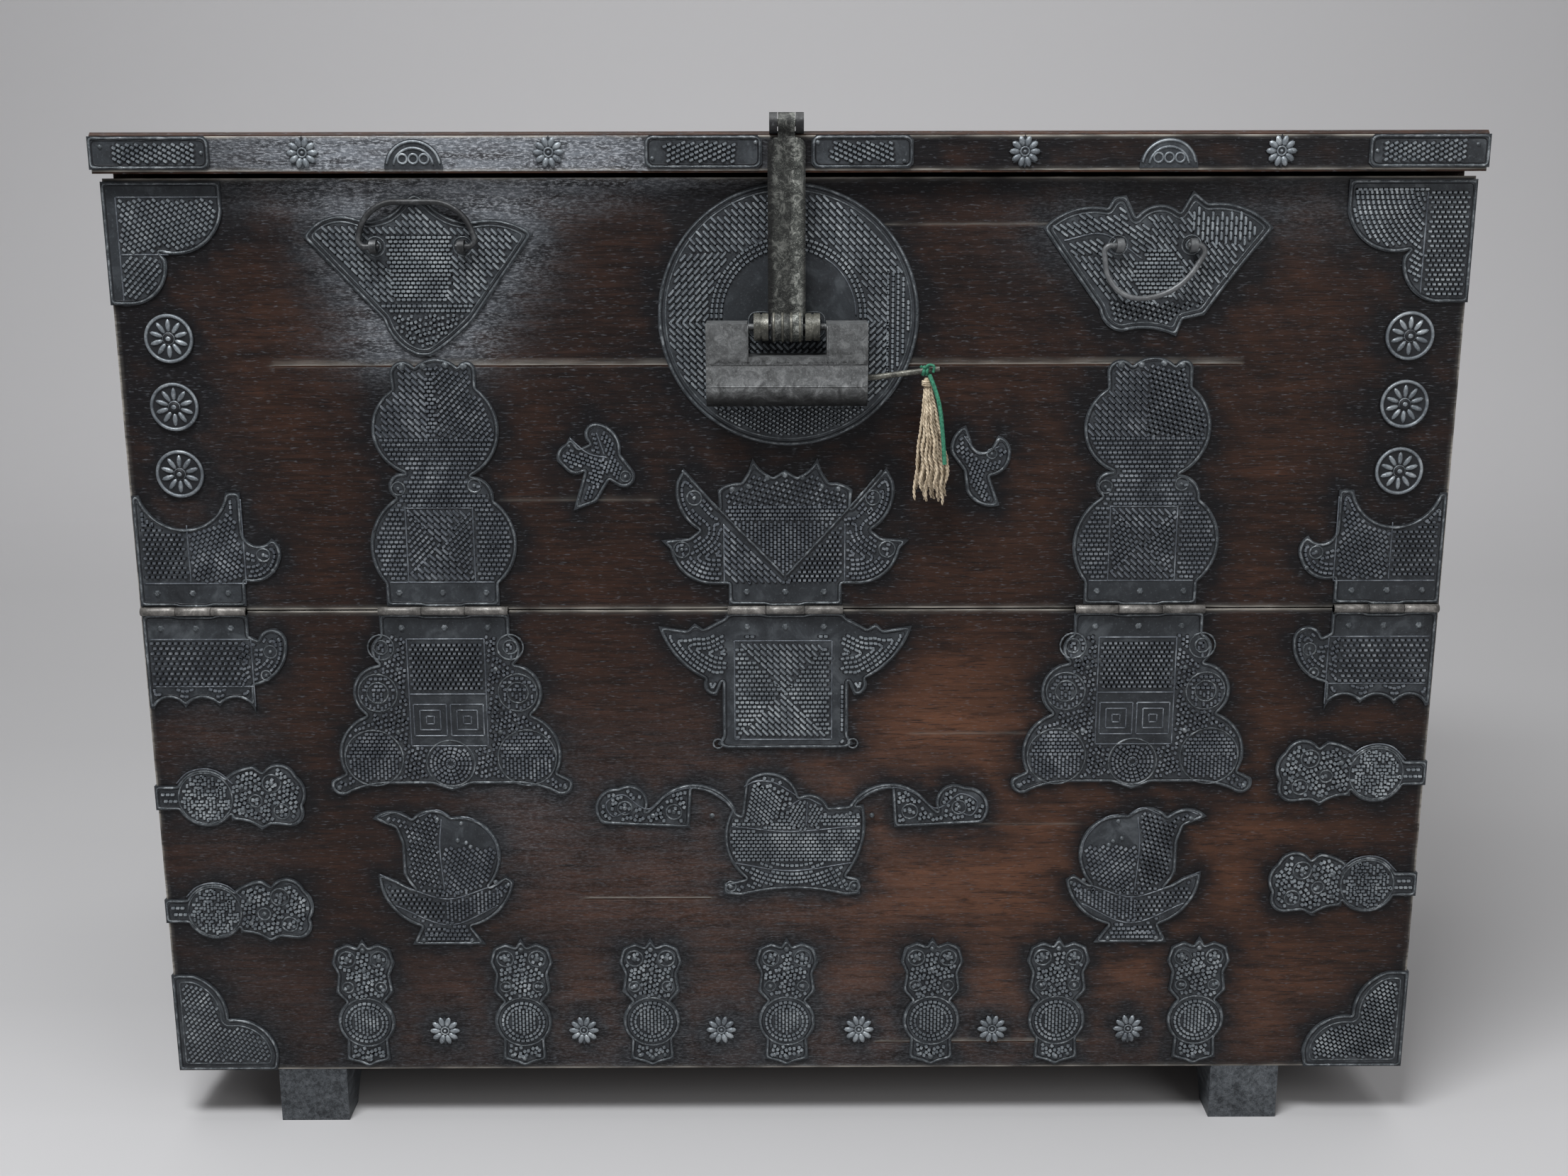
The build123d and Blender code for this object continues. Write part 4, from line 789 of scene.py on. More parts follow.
def tassel():
    """Bundle of loose two-ply threads, gathered under the knot."""
    low, high = box_mm("tassel")
    centre = (low + high) / 2
    neck = np.array([centre[0] - 1.8, centre[1], high[2]])
    reach = min((high - low)[:2]) / 2 - 2.0
    t = np.linspace(0, 1, 64)[:, None]
    spread = 0.16 + 0.84 * np.clip((t - 0.06) / 0.72, 0, 1) ** 1.1
    ends = np.where(t[:, 0] > 0.97, 0.6, 1.0)
    mesh = Mesh()
    for i in range(THREADS):
        turn = i * GOLDEN_ANGLE
        out = reach * math.sqrt((i + 0.5) / THREADS)
        foot = np.array([centre[0] + 1.8 + out * math.cos(turn), centre[1] + out * math.sin(turn),
                         low[2] + 1.5 + CHANCE.uniform(0, 16)])
        line = neck + (foot - neck) * np.hstack([spread, spread, t])
        line[:, :2] += 0.99 * t * np.sin(t * CHANCE.uniform(14, 26) + CHANCE.uniform(0, 6, 2))
        line[:, 2] -= 0.8
        phase = t[:, 0] * (high - low)[2] / 1.15 + CHANCE.uniform(0, 6)
        for ply in (0, math.pi):
            twist = np.stack([np.cos(phase + ply), np.sin(phase + ply), np.zeros(64)], 1) * 0.52
            tube(mesh, line + twist, 0.62, 5, closed=False, taper=ends)
    turn = np.linspace(0, 2 * math.pi * 3, 60)
    collar = np.stack([2.9 * np.cos(turn), 2.9 * np.sin(turn), np.linspace(-2.5, -6.1, 60)], 1)
    tube(mesh, neck + collar, 0.75, 6, closed=False)
    made = mesh.make("tassel_threads", "key", CREAM, "cream_thread")
    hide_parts("tassel")
    return made


def cord(with_pieces):
    data = bpy.data.curves.new("green_cord", "CURVE")
    data.dimensions = "3D"
    line = data.splines.new("NURBS")
    line.points.add(len(CORD_POINTS) - 1)
    for point, at in zip(line.points, CORD_POINTS):
        point.co = (*(at * MM), 1.0)
    line.order_u = 3
    line.use_endpoint_u = True
    data.bevel_depth = CORD_WIDE / 2
    data.resolution_u = 24
    data.use_fill_caps = True
    data.materials.append(GREEN)
    made = add_object("green_cord", data)
    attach(made, "key")
    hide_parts("key_cord")


cord([knot(), tassel()])


# ---- materials and worn edges on the frame's own nodes ----
PAINT = {
    WOOD: ("top_board", "lower_front_board", "door_board"),
    SIDE_WOOD: ("left_side_board", "right_side_board"),
    BACK_WOOD: ("back_board", "bottom_board"),
    FOOT_WOOD: ("left_runner", "right_runner"),
    BAR_IRON: ("hasp",),
    EYE_IRON: ("hasp_pin", "hasp_staples", "key"),
    # left bail and its posts painted dark as shade
    DARK_BAR: ("left_bail", "left_handle_posts", "hasp_strap"),
    # the rosettes' discs: painted shade between the petals laid on them
    PAINTED_SHADE_IRON: ("door_rosettes",),
    # right bail and its posts painted light as lit
    LIGHT_BAR: ("right_bail", "right_handle_posts"),
    LOCK_IRON: ("padlock_body", "padlock_bolt"),
    WORN: ("case_nails", "door_nails"),
}
SOFT_EDGES = {
    1.8: ("left_runner", "right_runner"),
    1.6: ("top_board",),
    0.8: ("hasp", "left_side_board", "right_side_board", "back_board"),
    0.7: ("padlock_body", "padlock_bolt"),
    0.6: ("hasp_staples",),
}                                         # bevel in millimetres


def soften(node, width):
    bevel = NODES[node].modifiers.new("worn_edge", "BEVEL")
    bevel.width = width * MM
    bevel.segments = 2
    bevel.limit_method = "ANGLE"
    bevel.angle_limit = math.radians(50)


def paint(node, material):
    data = NODES[node].data
    data.materials.clear()
    data.materials.append(material)


for node in NODES:
    paint(node, IRON)
for material, nodes in PAINT.items():
    for node in nodes:
        paint(node, material)
for width, nodes in SOFT_EDGES.items():
    for node in nodes:
        soften(node, width)


# ---- gourd leaves: two bulbs with quartered squares ----
NO_BAND = 19.0                            # plain band beside the seam
LEFT_X, RIGHT_X = -240.0, 242.0           # middle lines of the hinges under the bails


def gourd(node, x, upper):
    """Lower bulb with a square cut by its diagonals; the upper one's zones are given."""
    zones = upper + [(within(-60, 60, 481, 512), ruled(0)),
                     (above_and_below(0, 437.5, 23, 26), lined(-45)),
                     (within(-23, 23, 411, 464), ruled(45)),
                     (everywhere, ruled(0))]
    wires = [upright(-23, 411, 464), upright(23, 411, 464), level(-23, 23, 463.5), level(-36, 36, 411.5)]
    neck = [(25, 479, 4.5), (-27, 477, 4.5)]
    crown = [(-20, 560, 3.0), (-6, 560, 2.6), (9, 561, 2.6), (21, 560, 2.6)]
    dress(node, zones, wires, neck, small(neck, 1.5) + crown, (x, 0), clear_band=NO_BAND)


gourd("left_gourd_leaf", LEFT_X, [(within(-6, 2, 512, 552), ruled(0, 2.7)),
                                  (within(-60, -5, 511, 566), lined(-45)),
                                  (within(1, 60, 511, 566), ruled(45))])
gourd("right_gourd_leaf", RIGHT_X, [(within(-60, -1, 511, 566), lined(-45)),
                                    (within(-2, 60, 511, 566), dotted())])


# ---- stepped leaves: piles of roundels round a panel ----
def fret(x, z, half):
    """Square fret of three frames."""
    wires = []
    for h in (half, half * 0.62, half * 0.24):
        corners = ((x - h, z - h), (x + h, z - h), (x + h, z + h), (x - h, z + h))
        wires += [(a, b) for a, b in zip(corners, corners[1:] + corners[:1])]
    return wires


def pyramid(node, x):
    discs = twins((45, 365, 9.0), (49, 332, 13.5), (54, 284, 20.5))
    half_round = (0, 280, 17.0)
    panel = within(-27, 27, 293, 371)
    zones = []
    for cx, cz, r in discs:
        zones += [(both(in_disc(cx, cz, r - 1), within(cx - r, cx + r, cz, cz + r)), ruled(0, 2.7)),
                  (in_disc(cx, cz, r - 1), ruled(90, 2.7))]
    zones += [(in_disc(*half_round), ringed(0, 280, 2.8)),
              (both(panel, within(-60, 60, 330, 400)), dotted(3.6, 0)),
              (panel, plain),
              (everywhere, scattered(3.3, 2.3))]
    wires = frame_lines(27, 293, 371) + [level(-27, 27, 331)] + fret(-13, 312, 11.5) + fret(13, 312, 11.5)
    rings = discs + [(cx, cz, r * 0.55) for cx, cz, r in discs[:4]] + [half_round]
    feet = twins((80, 262, 2.0), (36, 303, 2.2), (34, 349, 2.0))
    dress(node, zones, wires, rings, feet, (x, 0), clear_band=NO_BAND)


pyramid("left_pyramid_leaf", LEFT_X)
pyramid("right_pyramid_leaf", RIGHT_X)


# ---- middle hinge: lotus over a roof ----
def lotus():
    ridges = [((-70, 488), (-44, 460), (-1, 415)), ((66, 488), (42, 460), (1, 415))]
    inside_v = lambda x, z: (z - 415) > abs(x) * 1.05
    zones = [(both(inside_v, within(-60, 60, 400, 453)), ruled(90, 2.7)),
             (both(inside_v, within(-60, 60, 452, 464)), ruled(0, 2.7)),
             (both(inside_v, within(-60, 60, 464, 500)), dotted(4.0)),
             (within(-44, 0, 411, 456), lined(-45)),
             (within(0, 44, 411, 456), dotted(3.5, 0)),
             (everywhere, following(rows=8))]
    curls = [(-62, 470, 5.0), (60, 470, 5.0), (-71, 434, 5.5), (70, 434, 5.5)]
    crown = [(0, 486, 2.6)] + twins((12, 484, 2.2), (25, 478, 2.2), (36, 476, 2.2))
    dress("lotus_leaf", zones, [upright(-42, 411, 452), upright(41, 411, 452)], curls,
          crown + small(curls, 1.6), (-3.5, 0), clear_band=NO_BAND, ridges=ridges)


def roof():
    zones = [(above_and_below(0, 332.5, 33, 35.5), lined(-45)),
             (within(-33, 33, 297, 368), ruled(0)),
             (within(-41, 41, 290, 372), plain),
             (everywhere, following(rows=9))]
    dress("roof_leaf", zones, frame_lines(34, 297, 369), [(-46, 294, 3.4), (49, 294, 3.4)], (), (-5, 0),
          clear_band=NO_BAND, metal=BRIGHT)


lotus()
roof()


# ---- outer hinge leaves, measured inwards from the chest's edge ----
def outer_pair(which, flip):
    origin = (-flip * EDGE, 0)
    stripes = (0, 75) if flip > 0 else (37, 38)
    dress(f"{which}_outer_upper_leaf",
          [(within(0, 38, 411, 452), dotted(3.8, 0)), (within(37, 75, 411, 460), ruled(-45 * flip)),
           (within(*stripes, 440, 480), ruled(90)), (everywhere, following(rows=6))],
          [upright(75, 411, 470), level(5, 75, 411), upright(37, 412, 452)],
          [(88, 431, 4.5)], [(88, 431, 1.6), (94, 420, 1.8)], origin, flip, clear_band=NO_BAND)
    curls = [(88, 362, 4.5), (84, 345, 3.5)]
    dress(f"{which}_outer_lower_leaf",
          [(within(4, 67, 338, 371), dotted(4.2, 0, 2.8)), (everywhere, following(rows=7))],
          [level(5, 75, 371), upright(75, 322, 371), level(5, 75, 337)],
          curls, [(88, 362, 1.6), (84, 345, 1.4)], origin, flip, clear_band=NO_BAND)


outer_pair("left", 1)
outer_pair("right", -1)


# ---- door corners, measured inwards and down from the door's corner ----
dress("left_door_corner",
      [(within(0, 90, -12, 0), plain), (within(0, 9, -90, 0), plain), (within(0, 90, -50, 0), ruled(-45)),
       (everywhere, ruled(45))],
      [level(8, 76, -12), upright(8, -80, -12), level(9, 40, -49)], origin=(-EDGE, DOOR_TOP), metal=BRIGHT)
dress("right_door_corner",
      [(within(0, 30, -90, -8), dotted(3.6, 0)), (within(0, 90, -9, 0), ruled(0)),
       (everywhere, ringed(5, 0))],
      [upright(31, -76, -10)], origin=(EDGE, DOOR_TOP), flip=-1, metal=BRIGHT)


# ---- backplates of the bails ----
def handle_plates():
    middle = lambda x, z: (abs(x) < 24 - (645 - z) * 0.15) & (z < 647)
    dress("left_handle_plate",
          [(both(middle, within(-60, 60, 603, 660)), ruled(0, 2.7)),
           (within(-90, 0, 603, 680), lined(-45)),
           (within(0, 90, 603, 680), lined(-45)),
           (within(-90, 90, 594, 603), ruled(0)),
           (everywhere, scattered(3.3, 2.3))],
          origin=(-244.5, 0), inner_rim=4.2, metal=BRIGHT)
    dress("right_handle_plate",
          [(in_disc(3, 620, 17), ruled(0, 2.7)),
           (within(-80, -2, 632, 680), lined(-35)),
           (within(24, 90, 640, 680), lined(90)),
           (within(-90, 90, 602, 680), lined(-50)),
           (everywhere, dotted())],
          [((-60, 642), (-34, 646), (-8, 630))], origin=(241, 0), inner_rim=4.2, metal=BRIGHT)


handle_plates()


# ---- round lock plate, measured from its middle ----
def lock_plate():
    r = 87
    upper = lambda x, z: z > -3
    dress("lock_plate",
          [(both(in_disc(0, 0, 44), upper), plain),
           (both(in_disc(0, 0, 53), upper), ringed(0, 0)),
           (within(66, r, -40, 30), ruled(90, 3.4)),
           (within(-r, -30, -3, 40), lined(48)),
           (within(-r, r, -3, r), lined(-46, 3.3)),
           (within(-r, 0, -62, 0), lined(-45)),
           (within(0, r, -62, 0), lined(45)),
           (everywhere, ruled(-30, 2.8, 2.9, 2.4, 1.4))],
          [circle(0, 0, 45)[:31:5]], origin=(-1, 593), inner_rim=5.0, metal=BRIGHT)


lock_plate()


# ---- birds, rosettes and flowers ----
def birds():
    dress("door_birds",
          [(within(-170, -128, 480, 540), ruled(-20, 2.6)), (within(100, 150, 497, 540), ruled(40, 2.6)),
           (everywhere, ruled(70, 2.6))],
          [((-149, 511), (-137, 501), (-124, 498)), ((-131, 515), (-126, 500)),
           ((118, 512), (128, 500), (142, 505))],
          [(-112, 485, 3.6), (137, 500, 3.4)],
          [(-112, 485, 1.4), (-150, 506, 1.3), (137, 500, 1.4), (120, 511, 1.3)])


def petals(mesh, x, z, y, count, inner, outer, width, height, start=0.0):
    turn = start + np.arange(count) * 2 * math.pi / count
    mid = (inner + outer) / 2
    xz = np.stack([x + mid * np.cos(turn), z + mid * np.sin(turn)], 1)
    punched(mesh, xz, turn, outer - inner, width, height, y, DOME_RING, DOME_STEPS)


def rosettes():
    low, high = box_mm("door_rosettes")
    y = low[1] + 1.4
    mesh = Mesh()
    for side in (-1, 1):
        x = side * (high[0] - 16.5)
        for row in range(3):
            z = low[2] + 16.5 + row * (high[2] - low[2] - 33) / 2
            HALO_POINTS.append(circle(x, z, 16.5, 4.0))
            tube(mesh, on_face(circle(x, z, 15.2), y), 1.15)
            petals(mesh, x, z, y, 10, 4.0, 13.2, 1.9, 1.2, 0.3)
            tube(mesh, on_face(circle(x, z, 3.6, 1.0), y), 0.6)
            punched(mesh, (x, z), 0.0, 5.2, 2.6, 1.9, y, DOME_RING, DOME_STEPS)
    mesh.make("rosette_petals", "door", BRIGHT)


def flowers(node, count, radius):
    """Petals with a dark middle on each flower of a row."""
    loops, y = front_loops(node)
    mesh = Mesh()
    for loop in loops:
        x, z = (loop.min(0) + loop.max(0)) / 2
        HALO_POINTS.append(circle(x, z, radius, 4.0))
        petals(mesh, x, z, y, count, 3.2, radius - 0.4, 2.3, 1.3)
        tube(mesh, on_face(circle(x, z, 2.8, 1.0), y), 0.55)
        punched(mesh, (x, z), 0.0, 2.4, 1.2, 1.0, y, DOME_RING, DOME_STEPS)
    mesh.make(f"{node}_petals", BODY_OF[node], BRIGHT)


birds()
rosettes()
flowers("lower_flowers", 10, 11.5)
flowers("top_flowers", 10, 10.5)


# ---- side straps, measured inwards from the chest's edge ----
def strap(name, flip):
    low, high = box_mm(name)
    middle = 34.5
    squares = lambda x, z: (np.floor(flip * (x - middle) / 8) + np.floor(z / 8)) % 2 < 1
    roundel = in_disc(middle, 0, 18)
    brow = [(middle + flip * 23 * math.cos(a), 22 * math.sin(a)) for a in (0.5, 1.1, 1.6, 2.1, 2.6)]
    dress(name,
          [(both(roundel, squares), ruled(0, 2.6)), (roundel, ruled(90, 2.6)),
           (within(0, 16, -9, 9), ruled(0, 5.0)), (everywhere, scattered(3.3, 2.6))],
          [brow], [(middle, 0, 19.0), (82, 11, 6.5), (88, -10, 5.5), (70, -2, 4.5)],
          [(82, 11, 2.2), (88, -10, 2.0), (70, -2, 1.8), (60, 8, 2.4), (60, -9, 2.2)],
          (-flip * EDGE, (low[2] + high[2]) / 2 - 0.8), flip, metal=BRIGHT)


for which, flip in (("left", 1), ("right", -1)):
    for row in ("upper", "lower"):
        strap(f"{which}_{row}_strap", flip)


# ---- base corners ----
for which in ("left", "right"):
    dress(f"{which}_base_corner", [(everywhere, dotted(3.5, 45, 2.7))], inner_rim=5.5, metal=BRIGHT)


# ---- peaches in bowls ----
def peach(node, x, flip):
    """Peach between two leaves over a bowl."""
    wires = [((-45, 240), (-35, 243), (-23, 238)), ((-18, 240), (-5, 245), (4, 240)),
             ((12, 240), (22, 237), (35, 222), (38, 203)), ((-48, 196), (-36, 190)),
             ((-30, 186), (0, 177), (30, 186)), ((-2, 238), (-4, 215), (-2, 184)),
             ((-38, 172), (0, 157), (36, 172))]
    beads = [(-40, 237, 2.0), (-5, 238, 1.8), (12, 235, 1.8), (9, 222, 1.8), (15, 220, 1.8),
             (18, 217, 1.8), (-19, 145, 1.8), (16, 145, 1.8), (35, 190, 1.8), (44, 188, 1.6)]
    zones = [(within(-60, -3, 186, 250), dotted(3.7, 45)),
             (within(-3, 60, 182, 216), ruled(-45 * flip)),
             (within(-3, 60, 216, 250), plain),
             (within(-60, -3, 150, 186), dotted(3.8, 0)),
             (within(-3, 60, 160, 186), ruled(90, 2.8)),
             (everywhere, ruled(0))]
    dress(node, zones, wires, (), beads, (x, 0), flip)


peach("left_peach_plate", -247, 1)
peach("right_peach_plate", 246, -1)


# ---- fruit bowl with ribbons ----
def basket():
    zones = [(in_disc(-20, 247, 14), ruled(-45, 2.6)), (in_disc(11, 240, 12), ruled(60, 2.6)),
             (within(-46, 50, 204, 232), ruled(0, 2.7)), (within(-46, 50, 180, 205), ringed(1, 250)),
             (within(-66, 66, 160, 240), ruled(0, 2.7)), (everywhere, scattered(3.3, 2.6))]
    ribbon = ((46, 250), (60, 259), (74, 261), (88, 256), (100, 246), (108, 247), (120, 256), (132, 250),
              (128, 240), (118, 243))
    wires = [((-33, 262), (-24, 266), (-12, 265), (0, 258), (8, 252)), ((-42, 232), (0, 228), (47, 232)),
             ((-40, 204), (0, 198), (44, 204)), ((-2, 246), (10, 253), (22, 248)), ((11, 232), (12, 250)),
             [(1 - x, z) for x, z in ribbon], [(1 + x, z) for x, z in ribbon]]
    rings = [(-83, 243, 5.5), (85, 243, 5.5), (-118, 246, 5.0), (120, 246, 5.0), (-43, 186, 3.8),
             (46, 186, 3.8)]
    loose = [(40, 240, 2.0), (-56, 240, 2.0), (58, 240, 2.0), (-98, 240, 2.0), (100, 240, 2.0)]
    dress("basket_plate", zones, wires, rings, small(rings, 1.9) + loose, metal=BRIGHT)


basket()


# ---- owl-eyed plates ----
def owls():
    loops, _ = front_loops("owl_plates")
    z = BODY_BOTTOM + 38.0
    zones, rings, beads = [], [], []
    for loop in loops:
        x = (loop.min(0)[0] + loop.max(0)[0]) / 2
        eyes = [(x - 11.5, z + 50, 6.0), (x + 11.5, z + 50, 6.0)]
        cheeks = [(x - 12, z + 28, 4.0), (x + 12, z + 28, 4.0)]
        zones += [(in_disc(x, z, 10), ruled(90, 2.6)), (in_disc(x, z, 18.5), ringed(x, z, 3.0))]
        rings += [(x, z, 19.0)] + eyes + cheeks
        beads += small(eyes, 2.6) + small(cheeks, 1.8) + [(x, z + 57, 2.2), (x, z + 41, 2.0)]
        beads += [(x, z - 29, 2.2), (x - 9, z - 27, 1.8), (x + 9, z - 27, 1.8)]
    zones.append((everywhere, scattered(3.3, 2.6)))
    dress("owl_plates", zones, (), rings, beads, metal=BRIGHT)


owls()


# ---- plates on the top board's edge ----
def top_plates():
    z = (TOP_LOW[2] + TOP_HIGH[2]) / 2
    left, right = (corner[0] for corner in box_mm("top_inner_plates"))
    # the bright iron on these plates is painted sheen
    dress("top_inner_plates",
          [(within(left + 13, -34, -6, 7), ruled(25, 3.0)), (within(27, right - 12, -6, 7), ruled(-25, 3.0))],
          beads=[(left + 5, -4, 1.6), (-22, 6, 1.6), (18, 6, 1.6), (right - 6, -6, 1.6)],
          origin=(0, z), metal=BRIGHT)
    for which, flip in (("left", 1), ("right", -1)):
        dress(f"{which}_top_end_plate", [(within(12, 65, -6, 7), ruled(-30 * flip, 3.0))],
              beads=[(5, 4, 1.5), (70, 0, 1.5)], origin=(-flip * EDGE, z), flip=flip, metal=BRIGHT)


def half_rounds():
    loops, y = front_loops("top_half_rounds")
    mesh = Mesh()
    for loop in loops:
        x = (loop.min(0)[0] + loop.max(0)[0]) / 2
        base = loop.min(0)[1]
        bend = np.linspace(0.15, 2.99, 9)
        for r in (17.4, 13.0):
            arc = np.stack([x + r * np.cos(bend), base + 1 + r * 0.95 * np.sin(bend)], 1)
            tube(mesh, on_face(spline(arc), y), 0.8, closed=False)
        for apart in (-7, 0, 7):
            tube(mesh, on_face(circle(x + apart, base + 6.5, 3.0, 1.0), y), 0.7)
    # the bright iron here is painted sheen
    mesh.make("half_round_curls", "case", BRIGHT)


top_plates()
half_rounds()


# ---- hinge knuckles, rubbed bright ----
def barrel_skins():
    low, high = box_mm("hinge_pins")
    y, z = (low[1] + high[1]) / 2, SEAM_Z
    spans = [(-285.0, -195.0), (197.0, 287.0), (-43.5, 36.5), (-449.0, -376.0), (376.0, 449.0)]
    skins = {"case": Mesh(), "door": Mesh()}
    for x0, x1 in spans:
        third = (x1 - x0) / 3
        for i in range(3):
            a, b = x0 + i * third + 0.2, x0 + (i + 1) * third - 0.2
            line = [(x, y, z) for x in np.linspace(a, b, 5)]
            tube(skins["door" if i == 1 else "case"], line, 2.98, 12, closed=False)
    for body, mesh in skins.items():
        mesh.make(f"{body}_knuckles", body, PALE_IRON)


barrel_skins()


# ---- lock and hasp ----
EYE_AT = (FRONT - 18.0, 587.1)            # (y, z) of the staples' eyes
EYE_R = 9.3


def lock_folds():
    """Fold lines and lips on the padlock's front."""
    y = LOCK_LOW[1] - 0.05
    x0, x1 = LOCK_LOW[0], LOCK_HIGH[0]
    notch = LOCK_HIGH[2] - 21.6
    mesh = Mesh()
    for x in (x0 + 25.0, x1 - 26.5):
        tube(mesh, [(x, y, z) for z in np.linspace(notch - 4, LOCK_HIGH[2] - 1, 6)], 0.45, closed=False)
    for z in (notch - 4.6, LOCK_LOW[2] + 14.5):
        tube(mesh, [(x, y, z) for x in np.linspace(x0 + 1, x1 - 1, 12)], 0.4, closed=False)
    mesh.make("lock_folds", "padlock", LOCK_IRON, "lock_iron")


def eye_rings():
    """Raised rings round the hasp's eye."""
    middle = (HASP_LOW[0] + HASP_HIGH[0]) / 2
    turn = np.arange(28) * 2 * math.pi / 28
    y, z = EYE_AT[0] + EYE_R * np.cos(turn), EYE_AT[1] + EYE_R * np.sin(turn)
    mesh = Mesh()
    for x in np.linspace(middle - 8.6, middle + 8.6, 4):
        tube(mesh, np.stack([np.full(28, x), y, z], 1), 0.9, 6)
    mesh.make("eye_rings", "hasp", EYE_IRON, "hasp_iron")


lock_folds()
eye_rings()


# ---- front skins: the boards' faces with soot stain and painted shadow round the iron, wear, seams and painted sheen ----
HALO = 9.0                                # how far the darkening spreads from an iron edge: soot stain, and painted shadow at the edge
AMBER_SPOTS = (                           # (x, z, half width, half height, share)
    (165, 210, 130, 95, 0.95), (20, 210, 90, 70, 0.5), (110, 270, 120, 60, 0.5), (95, 330, 60, 50, 0.35),
    (-150, 120, 90, 60, 0.3), (300, 560, 70, 60, 0.3), (-330, 600, 60, 60, 0.2), (160, 470, 60, 60, 0.25),
    (330, 200, 90, 130, 0.6), (150, 90, 200, 60, 0.5))
# painted sheen: spots of reflected light on the wood, as (x, z, half width, half height, share)
PAINTED_SHEEN_SPOTS = (
    (-235, 676, 92, 15, 1.0), (-285, 640, 30, 34, 0.45), (-190, 640, 30, 34, 0.50), (-250, 575, 50, 20, 0.35),
    (-215, 598, 22, 34, 0.4), (-275, 598, 20, 34, 0.35), (-130, 684, 90, 7, 0.5), (-190, 250, 40, 60, 0.10),
    (-245, 706, 125, 12, 1.0), (-235, 694, 120, 10, 0.8), (190, 650, 40, 30, 0.12), (330, 665, 60, 24, 0.10),
    (-120, 700, 80, 16, 0.5), (-40, 60, 330, 60, 0.13), (-60, 210, 150, 90, 0.10), (-400, 300, 40, 200, 0.06))


def cut(low, high, step, fine_at=()):
    """Places of grid lines, closer beside the ends and at seams."""
    places = list(np.linspace(low, high, int((high - low) / step) + 1))
    for at in tuple(fine_at) + (low, high):
        places += [at + d for d in (-1.6, -0.7, -0.3, 0.0, 0.3, 0.7, 1.6)]
    places = np.unique(np.round([p for p in places if low <= p <= high], 3))
    return places[np.concatenate([[True], np.diff(places) > 0.15])]


def spots(x, z, table):
    total = np.zeros(x.shape)
    for cx, cz, wide, tall, share in table:
        total += share * np.exp(-((x - cx) / wide) ** 2 - ((z - cz) / tall) ** 2)
    return np.clip(total, 0, 1)


def wobble(x, seed):
    """Slow random wave from -1 to 1."""
    return (np.sin(x * 0.031 + seed) + np.sin(x * 0.083 + seed * 2.3) + np.sin(x * 0.217 + seed * 3.1)) / 3


def darkening_and_spots(x, z, border):
    """Shares of darkening, amber and painted sheen at points of a face; border is how far each is from the
    face's edge. The darkening is soot stain round the iron with painted shadow at the iron's edges, darker
    towards the top and along the face's edges.
    """
    flat = np.stack([x, z], 1)
    near = np.full(len(flat), 60.0)
    for line in HALO_POINTS:
        close = ((flat > line.min(0) - 40) & (flat < line.max(0) + 40)).all(1)
        gap = np.hypot(*(flat[close][:, None] - line[None]).transpose(2, 0, 1)).min(1)
        near[close] = np.minimum(near[close], gap)
    uneven = 0.8 + 0.35 * wobble(x * 1.3 + z, 2) + 0.2 * wobble(z * 4 - x, 4)
    # soot stain spreading from the iron, strongest at its edges where it is painted shadow; darker towards
    # the top
    halo_and_height = 1.05 * np.exp(-near / HALO) + 0.45 * np.exp(-near / 28.0) + 0.42 * np.clip((z - 400) / 170, 0, 1)
    # darker along the face's edges
    darkening = np.clip(uneven * halo_and_height + 0.45 * np.exp(-border / 9.0), 0, 0.95)
    warm = spots(x, z, AMBER_SPOTS) * (1 - 0.5 * darkening)
    return {"darkening": darkening, "warm": warm, "painted_sheen": spots(x, z, PAINTED_SHEEN_SPOTS)}


